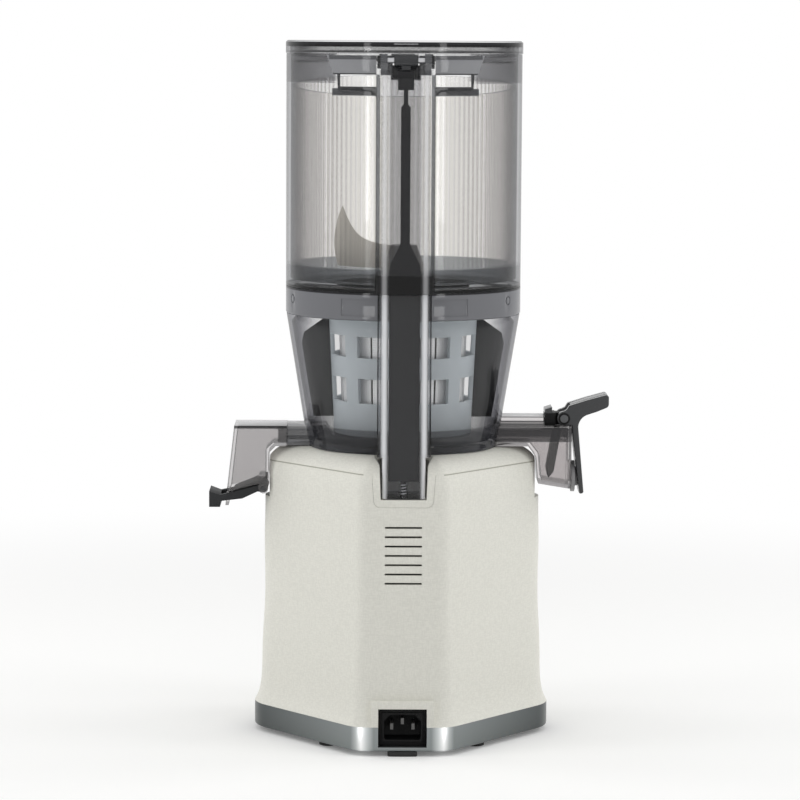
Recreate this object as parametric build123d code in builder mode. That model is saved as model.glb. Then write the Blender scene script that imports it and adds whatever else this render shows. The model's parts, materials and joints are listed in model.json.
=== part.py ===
"""Vertical cold press juicer: motor base, juicing bowl, feed hopper and lid.

Frame: +Z up, floor at z = 0, origin under the drive axis. The front is -Y and
the rear, with the power inlet and the interlock column, is +Y. The juice spout
is on -X and the pulp chute on +X. All lengths are millimetres.
"""
from build123d import *

import os
from math import acos, atan2, cos, pi, radians, sin, sqrt, tan

os.makedirs("parts", exist_ok=True)

# ---------------------------------------------------------------- driving sizes
# Round bodies: hopper, collar and bowl, with the column at their rear.
hopper_radius = 79.0
hopper_wall = 3.0
hopper_height = 155.0
hopper_floor_rise = 5.0
collar_height = 18.3
collar_wall = 2.9
bowl_height = 108.0
bowl_taper = 11.5
column_width = 35.2
column_depth = 8.6
column_wall = 2.2
column_corner = 4.5
hopper_column_width = 38.4
hopper_column_depth = 12.0
rod_reach = 3.2

# Base outline: a hexagon with flat front and rear and rounded side corners.
base_width = 199.2
rear_margin = 7.4
oblique_angle = 50.4
side_radius = 33.0
corner_radius = 19.0
least_radius = 2.0

# Heights of the base, from the floor up.
foot_height = 3.2
band_height = 16.2
deck_height = 195.0
parting_drop = 10.0
shoulder_radius = 18.0
flare_height = 42.0
flare_step = 3.4
waist_inset = 6.9

# Walls and clearances.
housing_wall = 2.8
pan_wall = 2.8
deck_thickness = 3.0
clear_wall = 2.6
seat_gap = 0.2
slide_gap = 0.3
shaft_gap = 0.05

# Screws and pins.
screw_radius = 1.6
screw_head_radius = 3.2
screw_head_height = 2.2

# Feet.
foot_radius = 6.0
foot_set_x = 50.6
foot_set_y = 38.0
rest_pad_width = 19.4
rest_pad_depth = 17.0

# Power inlet.
inlet_width = 31.9
inlet_height = 25.5
inlet_bottom = 6.1
inlet_depth = 27.0
inlet_recess = 3.6
inlet_frame = 4.8
socket_width = 24.0
socket_height = 16.5
socket_depth = 16.0
pin_pitch = 14.0
earth_rise = 3.5

# Rear notch for the interlock column.
notch_width = 30.0
notch_depth = 26.2
notch_strip = 5.0

# Side recesses behind the two spouts.
recess_depth = 3.3
recess_drop = 34.5
recess_width = 60.0

# Vents.
vent_count = 7
vent_pitch = 6.15
vent_drop = 44.5
vent_length = 24.5
vent_height = 1.3

# Drive.
gear_module = 1.5
pinion_teeth = 12
wheel_teeth = 36
gear_face = 9.0
gear_backlash = 0.16
motor_radius = 27.0
motor_bottom = 42.0
motor_height = 62.0
motor_wall = 2.5
magnet_radius = 18.0
rotor_gap = 1.0
motor_shaft_radius = 3.0
fan_radius = 26.0
fan_height = 9.0
case_wall = 3.0
case_gap = 1.2
drive_radius = 8.0
drive_hex = 12.0
layshaft_radius = 4.0

# Front selector.
knob_radius = 17.0
knob_depth = 14.0
knob_height = 120.0
bezel_width = 3.5

# Bowl.
well_depth = 16.5
bowl_foot_step = 3.0
well_step = 7.0
bowl_floor_rise = 8.0
gutter_depth = 3.0
ledge_width = 3.0
spigot_radius = 11.6
seal_wall = 2.0
hub_wall = 2.65

# Bowl gears: auger gear, idler and the brush frame's ring gear.
auger_teeth = 16
idler_teeth = 14
idler_pin_radius = 3.0
bowl_gear_face = 7.0

# Strainer, brush frame and auger.
brush_high_radius = 50.0
brush_taper = 3.4
brush_wall = 2.6
mesh_gap = 3.8
mesh_taper = 2.6
mesh_wall = 0.8
flight_gap = 1.6
flight_pitch = 36.0
core_low_radius = 29.0
core_high_radius = 23.0

# Hopper liner and lid.
flute_count = 120
flute_depth = 1.0
liner_wall = 3.7
liner_rear_drop = 27.0
liner_front_drop = 15.0
lid_height = 8.8
hinge_reach = 7.3
hinge_drop = 4.0
hinge_pin_radius = 1.8

# Juice spout and cap.
spout_reach = 24.6
spout_width = 32.0
spout_rise = 14.0
spout_wall = 2.2
mouth_radius = 7.5
mouth_drop = 31.5

# Pulp chute and gate.
chute_width = 34.0
chute_wall = 2.2
port_width = 24.0
port_height = 6.4

# ---------------------------------------------------------------- derived places
column_rear = hopper_radius + column_depth
hopper_column_rear = hopper_radius + hopper_column_depth
rear_face = column_rear + rear_margin
base_depth = 2 * rear_face
side_face = base_width / 2 - waist_inset
recess_x = side_face - recess_depth
band_top = foot_height + band_height
parting_height = deck_height - parting_drop
notch_floor = deck_height - notch_depth
recess_bottom = deck_height - recess_drop
vent_top = deck_height - vent_drop
motor_top = motor_bottom + motor_height

bowl_base = deck_height + seat_gap
bowl_floor = deck_height + bowl_floor_rise
gutter_floor = bowl_floor - gutter_depth
collar_top = deck_height + bowl_height
collar_low = collar_top - collar_height
collar_radius = hopper_radius
collar_seat = collar_radius - collar_wall
bowl_high_radius = collar_radius - 0.5
bowl_low_radius = bowl_high_radius - bowl_taper
bowl_foot_radius = bowl_low_radius - bowl_foot_step
well_radius = bowl_foot_radius - well_step
bowl_low = deck_height + 18
bowl_high = collar_low - 0.7
ledge_height = collar_low + 1.3
hub_radius = spigot_radius + shaft_gap + seal_wall + hub_wall

hopper_base = collar_top + seat_gap
hopper_floor = collar_top + hopper_floor_rise
hopper_top = collar_top + hopper_height
hopper_inner = hopper_radius - hopper_wall
lid_base = hopper_top + seat_gap
lid_top = hopper_top + lid_height
hinge_y = hopper_radius + hinge_reach
hinge_z = hopper_top - hinge_drop
rod_y = hopper_radius + rod_reach

spout_end = recess_x + spout_reach
spout_top = deck_height + spout_rise
mouth_height = spout_top - mouth_drop
cap_pivot_x = spout_end - 5.4
cap_pivot_z = spout_top + 4.5
stub_end = recess_x - 11.4
gate_pivot_x = recess_x + 4.2
gate_pivot_z = recess_bottom + 5.9

gear_centres = gear_module * (pinion_teeth + wheel_teeth) / 2
idler_centres = gear_module * (auger_teeth + idler_teeth) / 2
ring_teeth = auger_teeth + 2 * idler_teeth


# ---------------------------------------------------------------- shared outlines
def save(piece, name):
    """Label a finished piece and write it as one STEP file."""
    piece.label = name
    export_step(piece, f"parts/{name}.step")


def base_outline(inset):
    """Plan of the base, set in from its widest outline by inset."""
    slope = radians(oblique_angle)
    tip = base_width / 2 + side_radius * (1 / sin(slope) - 1) - inset / sin(slope)
    half = base_depth / 2 - inset
    flat = tip - half / tan(slope)
    with BuildSketch(mode=Mode.PRIVATE) as plan:
        with BuildLine():
            Polyline((flat, half), (tip, 0), (flat, -half), (-flat, -half), (-tip, 0), (-flat, half), close=True)
        make_face()
        fillet(plan.vertices().group_by(Axis.Y)[0], max(corner_radius - inset, least_radius))
        fillet(plan.vertices().group_by(Axis.Y)[-1], max(corner_radius - inset, least_radius))
        fillet(plan.vertices().group_by(Axis.X)[0], side_radius - inset)
        fillet(plan.vertices().group_by(Axis.X)[-1], side_radius - inset)
    return plan.sketch


def shoulder_inset(height):
    """Inset of the base outline on the rounded shoulder."""
    rise = height - (deck_height - shoulder_radius)
    return waist_inset + shoulder_radius - sqrt(shoulder_radius**2 - max(rise, 0) ** 2)


def flare_inset(height):
    """Inset of the base outline above the band: a quick flare, then a long draft."""
    rise = height - band_top
    quick = flare_step * (1 - (1 - min(rise / 14, 1)) ** 2)
    return quick + (waist_inset - flare_step) * min(rise / 100, 1) ** 0.7


def hull(heights, inset_at, skin):
    """Loft the base outline through some heights, with the two side recesses."""
    with BuildPart(mode=Mode.PRIVATE) as body:
        for height in heights:
            with BuildSketch(Plane.XY.offset(height)):
                add(base_outline(inset_at(height) + skin))
        loft()
        flat = recess_x - skin + side_radius / 2
        with BuildSketch(Plane.XY.offset(recess_bottom - skin)):
            with Locations((flat, 0), (-flat, 0)):
                Rectangle(side_radius, recess_width)
        extrude(amount=deck_height, mode=Mode.SUBTRACT)
    return body.part


def gear_outline(teeth, tip, root, thinning):
    """Involute gear outline with 20 degree flanks, a tooth centred on +X."""
    pitch_radius = teeth * gear_module / 2
    base_radius = pitch_radius * cos(radians(20))
    start = max(base_radius, root)
    middle = (start + tip) / 2
    step = 2 * pi / teeth

    def flank(radius, side):
        roll = acos(min(1, base_radius / max(radius, base_radius)))
        half = pi / (2 * teeth) + tan(radians(20)) - radians(20) - tan(roll) + roll
        half -= thinning / (2 * pitch_radius)
        return (radius * cos(half), side * radius * sin(half))

    foot = flank(root, 1)
    turn = step - atan2(foot[1], foot[0])
    with BuildLine(mode=Mode.PRIVATE) as tooth:
        if root < base_radius:
            Line(flank(root, -1), flank(start, -1))
        ThreePointArc(flank(start, -1), flank(middle, -1), flank(tip, -1))
        Line(flank(tip, -1), flank(tip, 1))
        ThreePointArc(flank(tip, 1), flank(middle, 1), flank(start, 1))
        if root < base_radius:
            Line(flank(start, 1), flank(root, 1))
        Line(foot, (root * cos(turn), root * sin(turn)))
    with BuildSketch(mode=Mode.PRIVATE) as outline:
        with BuildLine():
            with PolarLocations(0, teeth):
                add(tooth.line)
        make_face()
    return outline.sketch


def spur(teeth):
    """External gear outline with stub teeth."""
    radius = teeth * gear_module / 2
    return gear_outline(teeth, radius + 0.8 * gear_module, radius - gear_module, gear_backlash)


def ring_space(teeth):
    """Outline of the space inside a ring gear."""
    radius = teeth * gear_module / 2
    return gear_outline(teeth, radius + gear_module, radius - 0.8 * gear_module, -gear_backlash)


# ---------------------------------------------------------------- base shells
pan_floor = 3.0
boss_radius = 5.5
boss_set = 29.6
boss_y = 30.0
boss_x = base_width / 2 - boss_set
foot_x = base_width / 2 - foot_set_x
foot_y = rear_face - foot_set_y
boss_spots = [(x, y) for x in (-boss_x, boss_x) for y in (-boss_y, boss_y)]
foot_spots = [(x, y) for x in (-foot_x, foot_x) for y in (-foot_y, foot_y)]
foot_plug_radius = 3.0
inlet_top = inlet_bottom + inlet_height
damper_height = 4.0
post_radius = 5.0
post_top = motor_top - damper_height
wheel_radius = gear_module * wheel_teeth / 2
case_inner = wheel_radius + 0.8 * gear_module + case_gap
case_outer = case_inner + case_wall
post_reach = case_outer + screw_head_radius + 1
post_spots = [
    (centre + post_reach * cos(radians(turn)), side * post_reach * sin(radians(turn)))
    for centre, turn in ((0, 125), (gear_centres, 77))
    for side in (-1, 1)
]
board_width = 72.0
board_depth = 36.0
board_set = 31.0
board_y = board_set - rear_face
board_height = 13.0
board_post_radius = 3.0
board_spots = [
    (side * (board_width / 2 - 4), board_y + end * (board_depth / 2 - 4)) for side in (-1, 1) for end in (-1, 1)
]
vent_ring = 20.0
vent_slots = 10

with BuildPart() as base_pan:
    with BuildSketch(Plane.XY.offset(foot_height)):
        add(base_outline(0))
    extrude(amount=band_height)
    fillet(base_pan.faces().sort_by(Axis.Z)[0].edges(), 1.6)
    with BuildSketch(Plane.XY.offset(foot_height + pan_floor)):
        add(base_outline(pan_wall))
    extrude(amount=band_height, mode=Mode.SUBTRACT)
    with BuildSketch(Plane.XY.offset(foot_height)):
        with Locations(*boss_spots):
            Circle(boss_radius)
    extrude(amount=band_height)
    with BuildSketch(Plane.XY.offset(foot_height)):
        with Locations(*post_spots):
            Circle(post_radius)
    extrude(amount=post_top - foot_height)
    with BuildSketch(Plane.XY.offset(foot_height)):
        with Locations(*board_spots):
            Circle(board_post_radius)
    extrude(amount=board_height - foot_height)
    with BuildSketch(Plane.XY.offset(foot_height)):
        with Locations(*boss_spots):
            Circle(screw_radius + slide_gap)
        with Locations(*foot_spots):
            Circle(foot_plug_radius)
    extrude(amount=band_height, mode=Mode.SUBTRACT)
    with BuildSketch(Plane.XY.offset(foot_height)):
        with Locations(*boss_spots):
            Circle(screw_head_radius + slide_gap)
    extrude(amount=screw_head_height + 1, mode=Mode.SUBTRACT)
    with BuildSketch(Plane.XY.offset(post_top)):
        with Locations(*post_spots):
            Circle(screw_radius)
    extrude(amount=-20, mode=Mode.SUBTRACT)
    with BuildSketch(Plane.XY.offset(foot_height)):
        with PolarLocations(vent_ring, vent_slots):
            SlotOverall(vent_ring, 3)
    extrude(amount=pan_floor, mode=Mode.SUBTRACT)
    with BuildSketch(Plane.XZ.offset(-rear_face - 1)):
        with Locations((0, inlet_bottom + inlet_height / 2)):
            Rectangle(inlet_width, inlet_height)
    extrude(amount=inlet_depth + 5, mode=Mode.SUBTRACT)
save(base_pan.part, "base_pan")

with BuildPart() as rubber_feet:
    with BuildSketch():
        with Locations(*foot_spots):
            Circle(foot_radius)
    extrude(amount=foot_height)
    fillet(rubber_feet.faces().sort_by(Axis.Z)[0:4].edges(), 0.8)
    with BuildSketch(Plane.XY.offset(foot_height)):
        with Locations(*foot_spots):
            Circle(foot_plug_radius)
    extrude(amount=pan_floor)
    with BuildSketch():
        with Locations((0, rear_face - rest_pad_depth / 2)):
            RectangleRounded(rest_pad_width, rest_pad_depth, 2)
    extrude(amount=foot_height)
save(rubber_feet.part, "rubber_feet")


cover_levels = [parting_height, deck_height - 6, deck_height - 3, deck_height - 1, deck_height]
housing_levels = [
    band_top,
    band_top + 4.6,
    band_top + 13,
    band_top + flare_height,
    deck_height - 81,
    deck_height - 45,
    deck_height - 29,
    deck_height - 19,
    parting_height,
]
notch_front = well_radius + deck_thickness + 1
switch_face = rear_face - waist_inset - housing_wall - slide_gap
switch_neck = 7.8


def skin_inset(height):
    """Inset of the base's outer surface at any height above the band."""
    return flare_inset(height) + shoulder_inset(height) - waist_inset


notch_top_half = notch_width / 2 + notch_strip + 0.7
notch_low_half = notch_width / 2 + notch_strip - 0.8


def tongue(grow):
    """U-shaped rear tongue of the cover, drawn on the rear face."""
    low = notch_floor - notch_strip - grow
    with BuildSketch(mode=Mode.PRIVATE) as shape:
        with BuildLine():
            Polyline(
                (notch_top_half + grow, parting_height),
                (notch_low_half + grow, low),
                (-notch_low_half - grow, low),
                (-notch_top_half - grow, parting_height),
                close=True,
            )
        make_face()
        fillet(shape.vertices().group_by(Axis.Y)[0], 4.5)
    return shape.sketch


with BuildPart() as motor_housing:
    add(hull(housing_levels, skin_inset, 0))
    with BuildSketch(Plane.XZ.offset(-rear_face - 0.2)):
        with Locations((0, band_top + (inlet_top + inlet_frame - band_top) / 2)):
            Rectangle(inlet_width + 2 * inlet_frame, inlet_top + inlet_frame - band_top)
    extrude(amount=12)
    add(hull(housing_levels, skin_inset, housing_wall), mode=Mode.SUBTRACT)
    with BuildSketch(Plane.XZ.offset(-rear_face + housing_wall)):
        with Locations((0, band_top + (inlet_top + inlet_frame - band_top) / 2)):
            Rectangle(inlet_width + 2 * inlet_frame, inlet_top + inlet_frame - band_top)
    extrude(amount=8)
    with BuildSketch(Plane.XY.offset(band_top)):
        with Locations(*boss_spots):
            Circle(boss_radius)
    extrude(amount=24)
    with BuildSketch(Plane.XY.offset(band_top)):
        with Locations(*boss_spots):
            Circle(screw_radius)
    extrude(amount=20, mode=Mode.SUBTRACT)
    with BuildSketch(Plane.XZ.offset(-rear_face - 1)):
        with Locations((0, inlet_bottom + inlet_height / 2)):
            Rectangle(inlet_width, inlet_height)
    extrude(amount=inlet_depth, mode=Mode.SUBTRACT)
    with BuildSketch(Plane.XZ.offset(-rear_face)):
        with Locations((0, vent_top - (vent_count - 1) * vent_pitch / 2)):
            with GridLocations(0, vent_pitch, 1, vent_count):
                SlotOverall(vent_length, vent_height)
    extrude(amount=20, mode=Mode.SUBTRACT)
    with BuildSketch(Plane.XZ.offset(-rear_face)):
        add(tongue(0.15))
    extrude(amount=rear_face - notch_front + 8, mode=Mode.SUBTRACT)
    with BuildSketch(Plane.XZ.offset(switch_face - 1)):
        with Locations((0, knob_height)):
            Circle(switch_neck + seat_gap)
    extrude(amount=rear_face - switch_face + 1, mode=Mode.SUBTRACT)
save(motor_housing.part, "motor_housing")

well_floor = deck_height - well_depth
boss_outer = 15.0
hub_bottom = deck_height - 5
boss_top = hub_bottom - 2
seal_outer = 12.0
seal_height = 6.0
flange_screw_ring = 21.5
flange_screws = 4
plunger_radius = 1.8

with BuildPart(mode=Mode.PRIVATE) as tongue_block:
    with BuildSketch(Plane.XZ.offset(-rear_face)):
        add(tongue(0))
    extrude(amount=rear_face - notch_front + 3)
    add(hull(housing_levels, skin_inset, 0), mode=Mode.INTERSECT)

with BuildPart() as housing_cover:
    add(hull(cover_levels, skin_inset, 0))
    add(hull([parting_height, deck_height - 7, deck_height - deck_thickness], skin_inset, housing_wall), mode=Mode.SUBTRACT)
    add(tongue_block.part)
    with BuildSketch(Plane.XY.offset(well_floor - deck_thickness)):
        Circle(well_radius + deck_thickness)
    extrude(amount=deck_height - well_floor + deck_thickness)
    with BuildSketch(Plane.XY.offset(well_floor)):
        Circle(well_radius)
    extrude(amount=well_depth, mode=Mode.SUBTRACT)
    with BuildSketch(Plane.XY.offset(well_floor)):
        Circle(boss_outer)
    extrude(amount=boss_top - well_floor)
    with BuildSketch(Plane.XY.offset(well_floor - deck_thickness)):
        Circle(drive_radius + 2 * slide_gap)
        with PolarLocations(flange_screw_ring, flange_screws, start_angle=45):
            Circle(screw_radius)
    extrude(amount=well_depth, mode=Mode.SUBTRACT)
    with BuildSketch(Plane.XY.offset(boss_top)):
        Circle(seal_outer)
    extrude(amount=-seal_height, mode=Mode.SUBTRACT)
    with BuildSketch(Plane.XZ.offset(-rear_face)) as notch:
        with BuildLine():
            Polyline(
                (-notch_width / 2, notch_floor),
                (notch_width / 2, notch_floor),
                (notch_width / 2 + 0.8, deck_height - 4),
                (notch_width / 2 + 5, deck_height + 1),
                (-notch_width / 2 - 5, deck_height + 1),
                (-notch_width / 2 - 0.8, deck_height - 4),
                close=True,
            )
        make_face()
        fillet(notch.vertices().group_by(Axis.Y)[1], 4)
    extrude(amount=rear_face - notch_front, mode=Mode.SUBTRACT)
    with BuildSketch(Plane.XY.offset(notch_floor)):
        with Locations((0, rod_y)):
            Circle(plunger_radius + slide_gap)
    extrude(amount=-notch_strip - 2, mode=Mode.SUBTRACT)
save(housing_cover.part, "housing_cover")

with BuildPart() as shaft_seal:
    with BuildSketch(Plane.XY.offset(boss_top - seal_height)):
        Circle(seal_outer)
        Circle(drive_radius + shaft_gap, mode=Mode.SUBTRACT)
    extrude(amount=seal_height + 0.5)
save(shaft_seal.part, "shaft_seal")

# ---------------------------------------------------------------- power inlet
inlet_middle = inlet_bottom + inlet_height / 2
inlet_face = rear_face - inlet_recess

with BuildPart() as power_inlet:
    with BuildSketch(Plane.XZ.offset(-inlet_face)):
        with Locations((0, inlet_middle)):
            Rectangle(inlet_width - 2 * slide_gap, inlet_height - 2 * slide_gap)
    extrude(amount=inlet_depth - inlet_recess)
    with BuildSketch(Plane.XZ.offset(-inlet_face)) as socket:
        with Locations((0, inlet_middle)):
            Rectangle(socket_width, socket_height)
        chamfer(socket.vertices().group_by(Axis.Y)[-1], 4)
        fillet(socket.vertices().group_by(Axis.Y)[0], 1.5)
    extrude(amount=socket_depth, mode=Mode.SUBTRACT)
    with BuildSketch(Plane.XZ.offset(-inlet_face)):
        with Locations((0, inlet_middle)):
            Rectangle(inlet_width - 2 * slide_gap, inlet_height - 2 * slide_gap)
            Rectangle(socket_width + 3, socket_height + 3, mode=Mode.SUBTRACT)
    extrude(amount=1.2, mode=Mode.SUBTRACT)
save(power_inlet.part, "power_inlet")

with BuildPart() as inlet_pins:
    with BuildSketch(Plane.XZ.offset(-inlet_face + socket_depth)):
        with Locations((-pin_pitch / 2, inlet_middle), (pin_pitch / 2, inlet_middle)):
            Rectangle(2, 4)
        with Locations((0, inlet_middle + earth_rise)):
            Rectangle(2, 4)
    extrude(amount=-(socket_depth - 3))
save(inlet_pins.part, "inlet_pins")

# ---------------------------------------------------------------- motor and gearbox
stage_low = motor_top + case_wall + case_gap
stage_high = stage_low + gear_face + 2 * case_gap
case_top = stage_high + gear_face + case_gap
pinion_radius = gear_module * pinion_teeth / 2
rotor_radius = magnet_radius - rotor_gap
case_split = stage_high - case_gap
bearing_height = 8.0
bearing_outer = 13.0
bearing_tube = bearing_outer + case_wall
flange_bottom = well_floor - deck_thickness - case_wall
bearing_levels = [case_top + case_wall, flange_bottom + case_wall - bearing_height]
drive_shoulder = hub_bottom
drive_top = bowl_floor + 23

with BuildPart() as motor_can:
    with BuildSketch(Plane.XY.offset(motor_bottom)):
        Circle(motor_radius)
    extrude(amount=motor_height)
    with BuildSketch(Plane.XY.offset(motor_bottom + motor_wall)):
        Circle(motor_radius - motor_wall)
    extrude(amount=motor_height - 2 * motor_wall, mode=Mode.SUBTRACT)
    with BuildSketch(Plane.XY.offset(motor_bottom)):
        Circle(motor_shaft_radius + 3)
    extrude(amount=motor_height, mode=Mode.SUBTRACT)
save(motor_can.part, "motor_can")

with BuildPart() as motor_magnets:
    with BuildSketch(Plane.XY.offset(motor_bottom + 10)):
        Circle(motor_radius - motor_wall)
        Circle(magnet_radius, mode=Mode.SUBTRACT)
        Rectangle(10, 3 * motor_radius, mode=Mode.SUBTRACT)
    extrude(amount=motor_height - 20)
save(motor_magnets.part, "motor_magnets")

with BuildPart() as motor_rotor:
    with BuildSketch(Plane.XY.offset(motor_bottom + 12)):
        Circle(rotor_radius)
        with PolarLocations(rotor_radius, 8):
            Rectangle(5, 2.4, mode=Mode.SUBTRACT)
    extrude(amount=motor_height - 24)
    with BuildSketch(Plane.XY.offset(motor_bottom - 16)):
        Circle(motor_shaft_radius)
    extrude(amount=stage_low + gear_face - motor_bottom + 16)
save(motor_rotor.part, "motor_rotor")

with BuildPart() as cooling_fan:
    with BuildSketch(Plane.XY.offset(motor_bottom - 14)):
        Circle(fan_radius)
    extrude(amount=1.6)
    with BuildSketch(Plane.XY.offset(motor_bottom - 14)):
        Circle(motor_shaft_radius + 3)
    extrude(amount=fan_height)
    with BuildSketch(Plane.XY.offset(motor_bottom - 14)):
        with PolarLocations(0.68 * fan_radius, 9):
            with Locations(Rotation(0, 0, 25)):
                Rectangle(0.55 * fan_radius, 1.4)
    extrude(amount=fan_height)
    with BuildSketch(Plane.XY.offset(motor_bottom - 14)):
        Circle(motor_shaft_radius)
    extrude(amount=fan_height, mode=Mode.SUBTRACT)
save(cooling_fan.part, "cooling_fan")

with BuildPart() as motor_pinion:
    with BuildSketch(Plane.XY.offset(stage_low)):
        add(spur(pinion_teeth))
        Circle(motor_shaft_radius, mode=Mode.SUBTRACT)
    extrude(amount=gear_face)
save(motor_pinion.part, "motor_pinion")

with BuildPart() as layshaft_gear:
    with BuildSketch(Plane((gear_centres, 0, stage_low))):
        add(Rotation(0, 0, 180 / wheel_teeth + 180) * spur(wheel_teeth))
    extrude(amount=gear_face)
    with BuildSketch(Plane((gear_centres, 0, stage_low))):
        Circle(pinion_radius - 1.2 * gear_module)
    extrude(amount=stage_high - stage_low)
    with BuildSketch(Plane((gear_centres, 0, stage_high))):
        add(Rotation(0, 0, 180) * spur(pinion_teeth))
    extrude(amount=gear_face)
    with BuildSketch(Plane((gear_centres, 0, stage_low))):
        Circle(layshaft_radius + shaft_gap)
    extrude(amount=stage_high + gear_face - stage_low, mode=Mode.SUBTRACT)
save(layshaft_gear.part, "layshaft_gear")

with BuildPart() as layshaft_pin:
    with BuildSketch(Plane((gear_centres, 0, motor_top))):
        Circle(layshaft_radius)
    extrude(amount=case_top + case_wall - motor_top)
save(layshaft_pin.part, "layshaft_pin")

with BuildPart() as output_gear:
    with BuildSketch(Plane.XY.offset(stage_high)):
        add(Rotation(0, 0, 180 / wheel_teeth) * spur(wheel_teeth))
        Circle(drive_radius, mode=Mode.SUBTRACT)
    extrude(amount=gear_face)
save(output_gear.part, "output_gear")

with BuildPart() as drive_shaft:
    with BuildSketch(Plane.XY.offset(stage_high)):
        Circle(drive_radius)
    extrude(amount=drive_shoulder - stage_high)
    with BuildSketch(Plane.XY.offset(drive_shoulder)):
        RegularPolygon(drive_hex / 2, 6, major_radius=False)
    extrude(amount=drive_top - drive_shoulder)
    chamfer(drive_shaft.faces().sort_by(Axis.Z)[-1].edges(), 1)
save(drive_shaft.part, "drive_shaft")

with BuildPart() as shaft_bearings:
    for level in (motor_bottom, motor_top - motor_wall):
        with BuildSketch(Plane.XY.offset(level)):
            Circle(motor_shaft_radius + 3)
            Circle(motor_shaft_radius + shaft_gap, mode=Mode.SUBTRACT)
        extrude(amount=motor_wall)
    for level in bearing_levels:
        with BuildSketch(Plane.XY.offset(level)):
            Circle(bearing_outer)
            Circle(drive_radius + shaft_gap, mode=Mode.SUBTRACT)
        extrude(amount=bearing_height)
save(shaft_bearings.part, "shaft_bearings")

with BuildPart() as gear_case_lower:
    with BuildSketch(Plane((gear_centres / 2, 0, motor_top))):
        SlotCenterToCenter(gear_centres, 2 * case_outer)
    extrude(amount=case_split - motor_top)
    with BuildSketch(Plane.XY.offset(motor_top)):
        for spot in post_spots:
            with BuildLine():
                Line((min(max(spot[0], 0), gear_centres), 0), spot)
            trace(line_width=2 * post_radius)
        with Locations(*post_spots):
            Circle(post_radius + 2)
    extrude(amount=case_wall)
    with BuildSketch(Plane((gear_centres / 2, 0, motor_top + case_wall))):
        SlotCenterToCenter(gear_centres, 2 * case_inner)
    extrude(amount=case_split, mode=Mode.SUBTRACT)
    with BuildSketch(Plane.XY.offset(motor_top)):
        Circle(motor_shaft_radius + 3)
        with Locations((gear_centres, 0)):
            Circle(layshaft_radius)
        with Locations(*post_spots):
            Circle(screw_radius + slide_gap)
    extrude(amount=case_wall, mode=Mode.SUBTRACT)
save(gear_case_lower.part, "gear_case_lower")

with BuildPart() as gear_case_cover:
    with BuildSketch(Plane((gear_centres / 2, 0, case_split))):
        SlotCenterToCenter(gear_centres, 2 * case_outer)
    extrude(amount=case_top + case_wall - case_split)
    with BuildSketch(Plane.XY.offset(case_top)):
        Circle(bearing_tube)
    extrude(amount=flange_bottom + case_wall - case_top)
    with BuildSketch(Plane.XY.offset(flange_bottom)):
        Circle(flange_screw_ring + 2 * screw_radius)
    extrude(amount=case_wall)
    for turn in range(4):
        with BuildSketch(Plane.XZ.rotated((0, 0, 90 * turn))):
            with BuildLine():
                Polyline(
                    (bearing_tube - 1, case_top),
                    (case_inner, case_top),
                    (flange_screw_ring, flange_bottom),
                    (bearing_tube - 1, flange_bottom),
                    close=True,
                )
            make_face()
        extrude(amount=1.2, both=True)
    with BuildSketch(Plane((gear_centres / 2, 0, case_split))):
        SlotCenterToCenter(gear_centres, 2 * case_inner)
    extrude(amount=case_top - case_split, mode=Mode.SUBTRACT)
    with BuildSketch(Plane.XY.offset(case_top)):
        Circle(drive_radius + 2 * slide_gap)
    extrude(amount=case_wall, mode=Mode.SUBTRACT)
    with BuildSketch(Plane.XY.offset(case_top + case_wall)):
        Circle(bearing_outer)
    extrude(amount=flange_bottom - case_top, mode=Mode.SUBTRACT)
    with BuildSketch(Plane.XY.offset(case_top)):
        with Locations((gear_centres, 0)):
            Circle(layshaft_radius)
    extrude(amount=case_wall, mode=Mode.SUBTRACT)
    with BuildSketch(Plane.XY.offset(flange_bottom)):
        with PolarLocations(flange_screw_ring, flange_screws, start_angle=45):
            Circle(screw_radius)
    extrude(amount=case_wall, mode=Mode.SUBTRACT)
save(gear_case_cover.part, "gear_case_cover")

with BuildPart() as vibration_dampers:
    with BuildSketch(Plane.XY.offset(post_top)):
        with Locations(*post_spots):
            Circle(post_radius + 1)
        with Locations(*post_spots):
            Circle(screw_radius + slide_gap, mode=Mode.SUBTRACT)
    extrude(amount=damper_height)
save(vibration_dampers.part, "vibration_dampers")


def screws(spots, seat, length):
    """Pan-head screws with their heads above seat (length < 0) or below it."""
    side = -1 if length > 0 else 1
    with BuildPart(mode=Mode.PRIVATE) as group:
        with BuildSketch(Plane.XY.offset(seat)):
            with Locations(*spots):
                Circle(screw_head_radius)
        extrude(amount=side * screw_head_height)
        fillet(group.faces().filter_by(Axis.Z).group_by(Axis.Z)[0 if side < 0 else -1].edges(), 0.8)
        with BuildSketch(Plane.XY.offset(seat)):
            with Locations(*spots):
                Circle(screw_radius)
        extrude(amount=length)
    return group.part


flange_spots = [Vector(flange_screw_ring, 0).rotate(Axis.Z, 45 + 90 * turn) for turn in range(flange_screws)]
with BuildPart() as base_screws:
    add(screws(boss_spots, foot_height + screw_head_height + 1, 28))
    add(screws(post_spots, motor_top + case_wall, -18))
    add(screws(flange_spots, well_floor, -deck_thickness - case_wall - 2))
save(base_screws.part, "base_screws")

# ---------------------------------------------------------------- electrics
with BuildPart() as control_board:
    with BuildSketch(Plane.XY.offset(board_height)):
        with Locations((0, board_y)):
            Rectangle(board_width, board_depth)
    extrude(amount=1.6)
    with BuildSketch(Plane.XY.offset(board_height + 1.6)):
        with Locations((-20, board_y)):
            Rectangle(22, 26)
    extrude(amount=15)
    with BuildSketch(Plane.XY.offset(board_height + 1.6)):
        with Locations((6, board_y - 7), (6, board_y + 7), (20, board_y - 7)):
            Circle(5)
    extrude(amount=14)
    with BuildSketch(Plane.XY.offset(board_height + 1.6)):
        with Locations((24, board_y + 7)):
            Rectangle(12, 8)
    extrude(amount=10)
save(control_board.part, "control_board")

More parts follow.
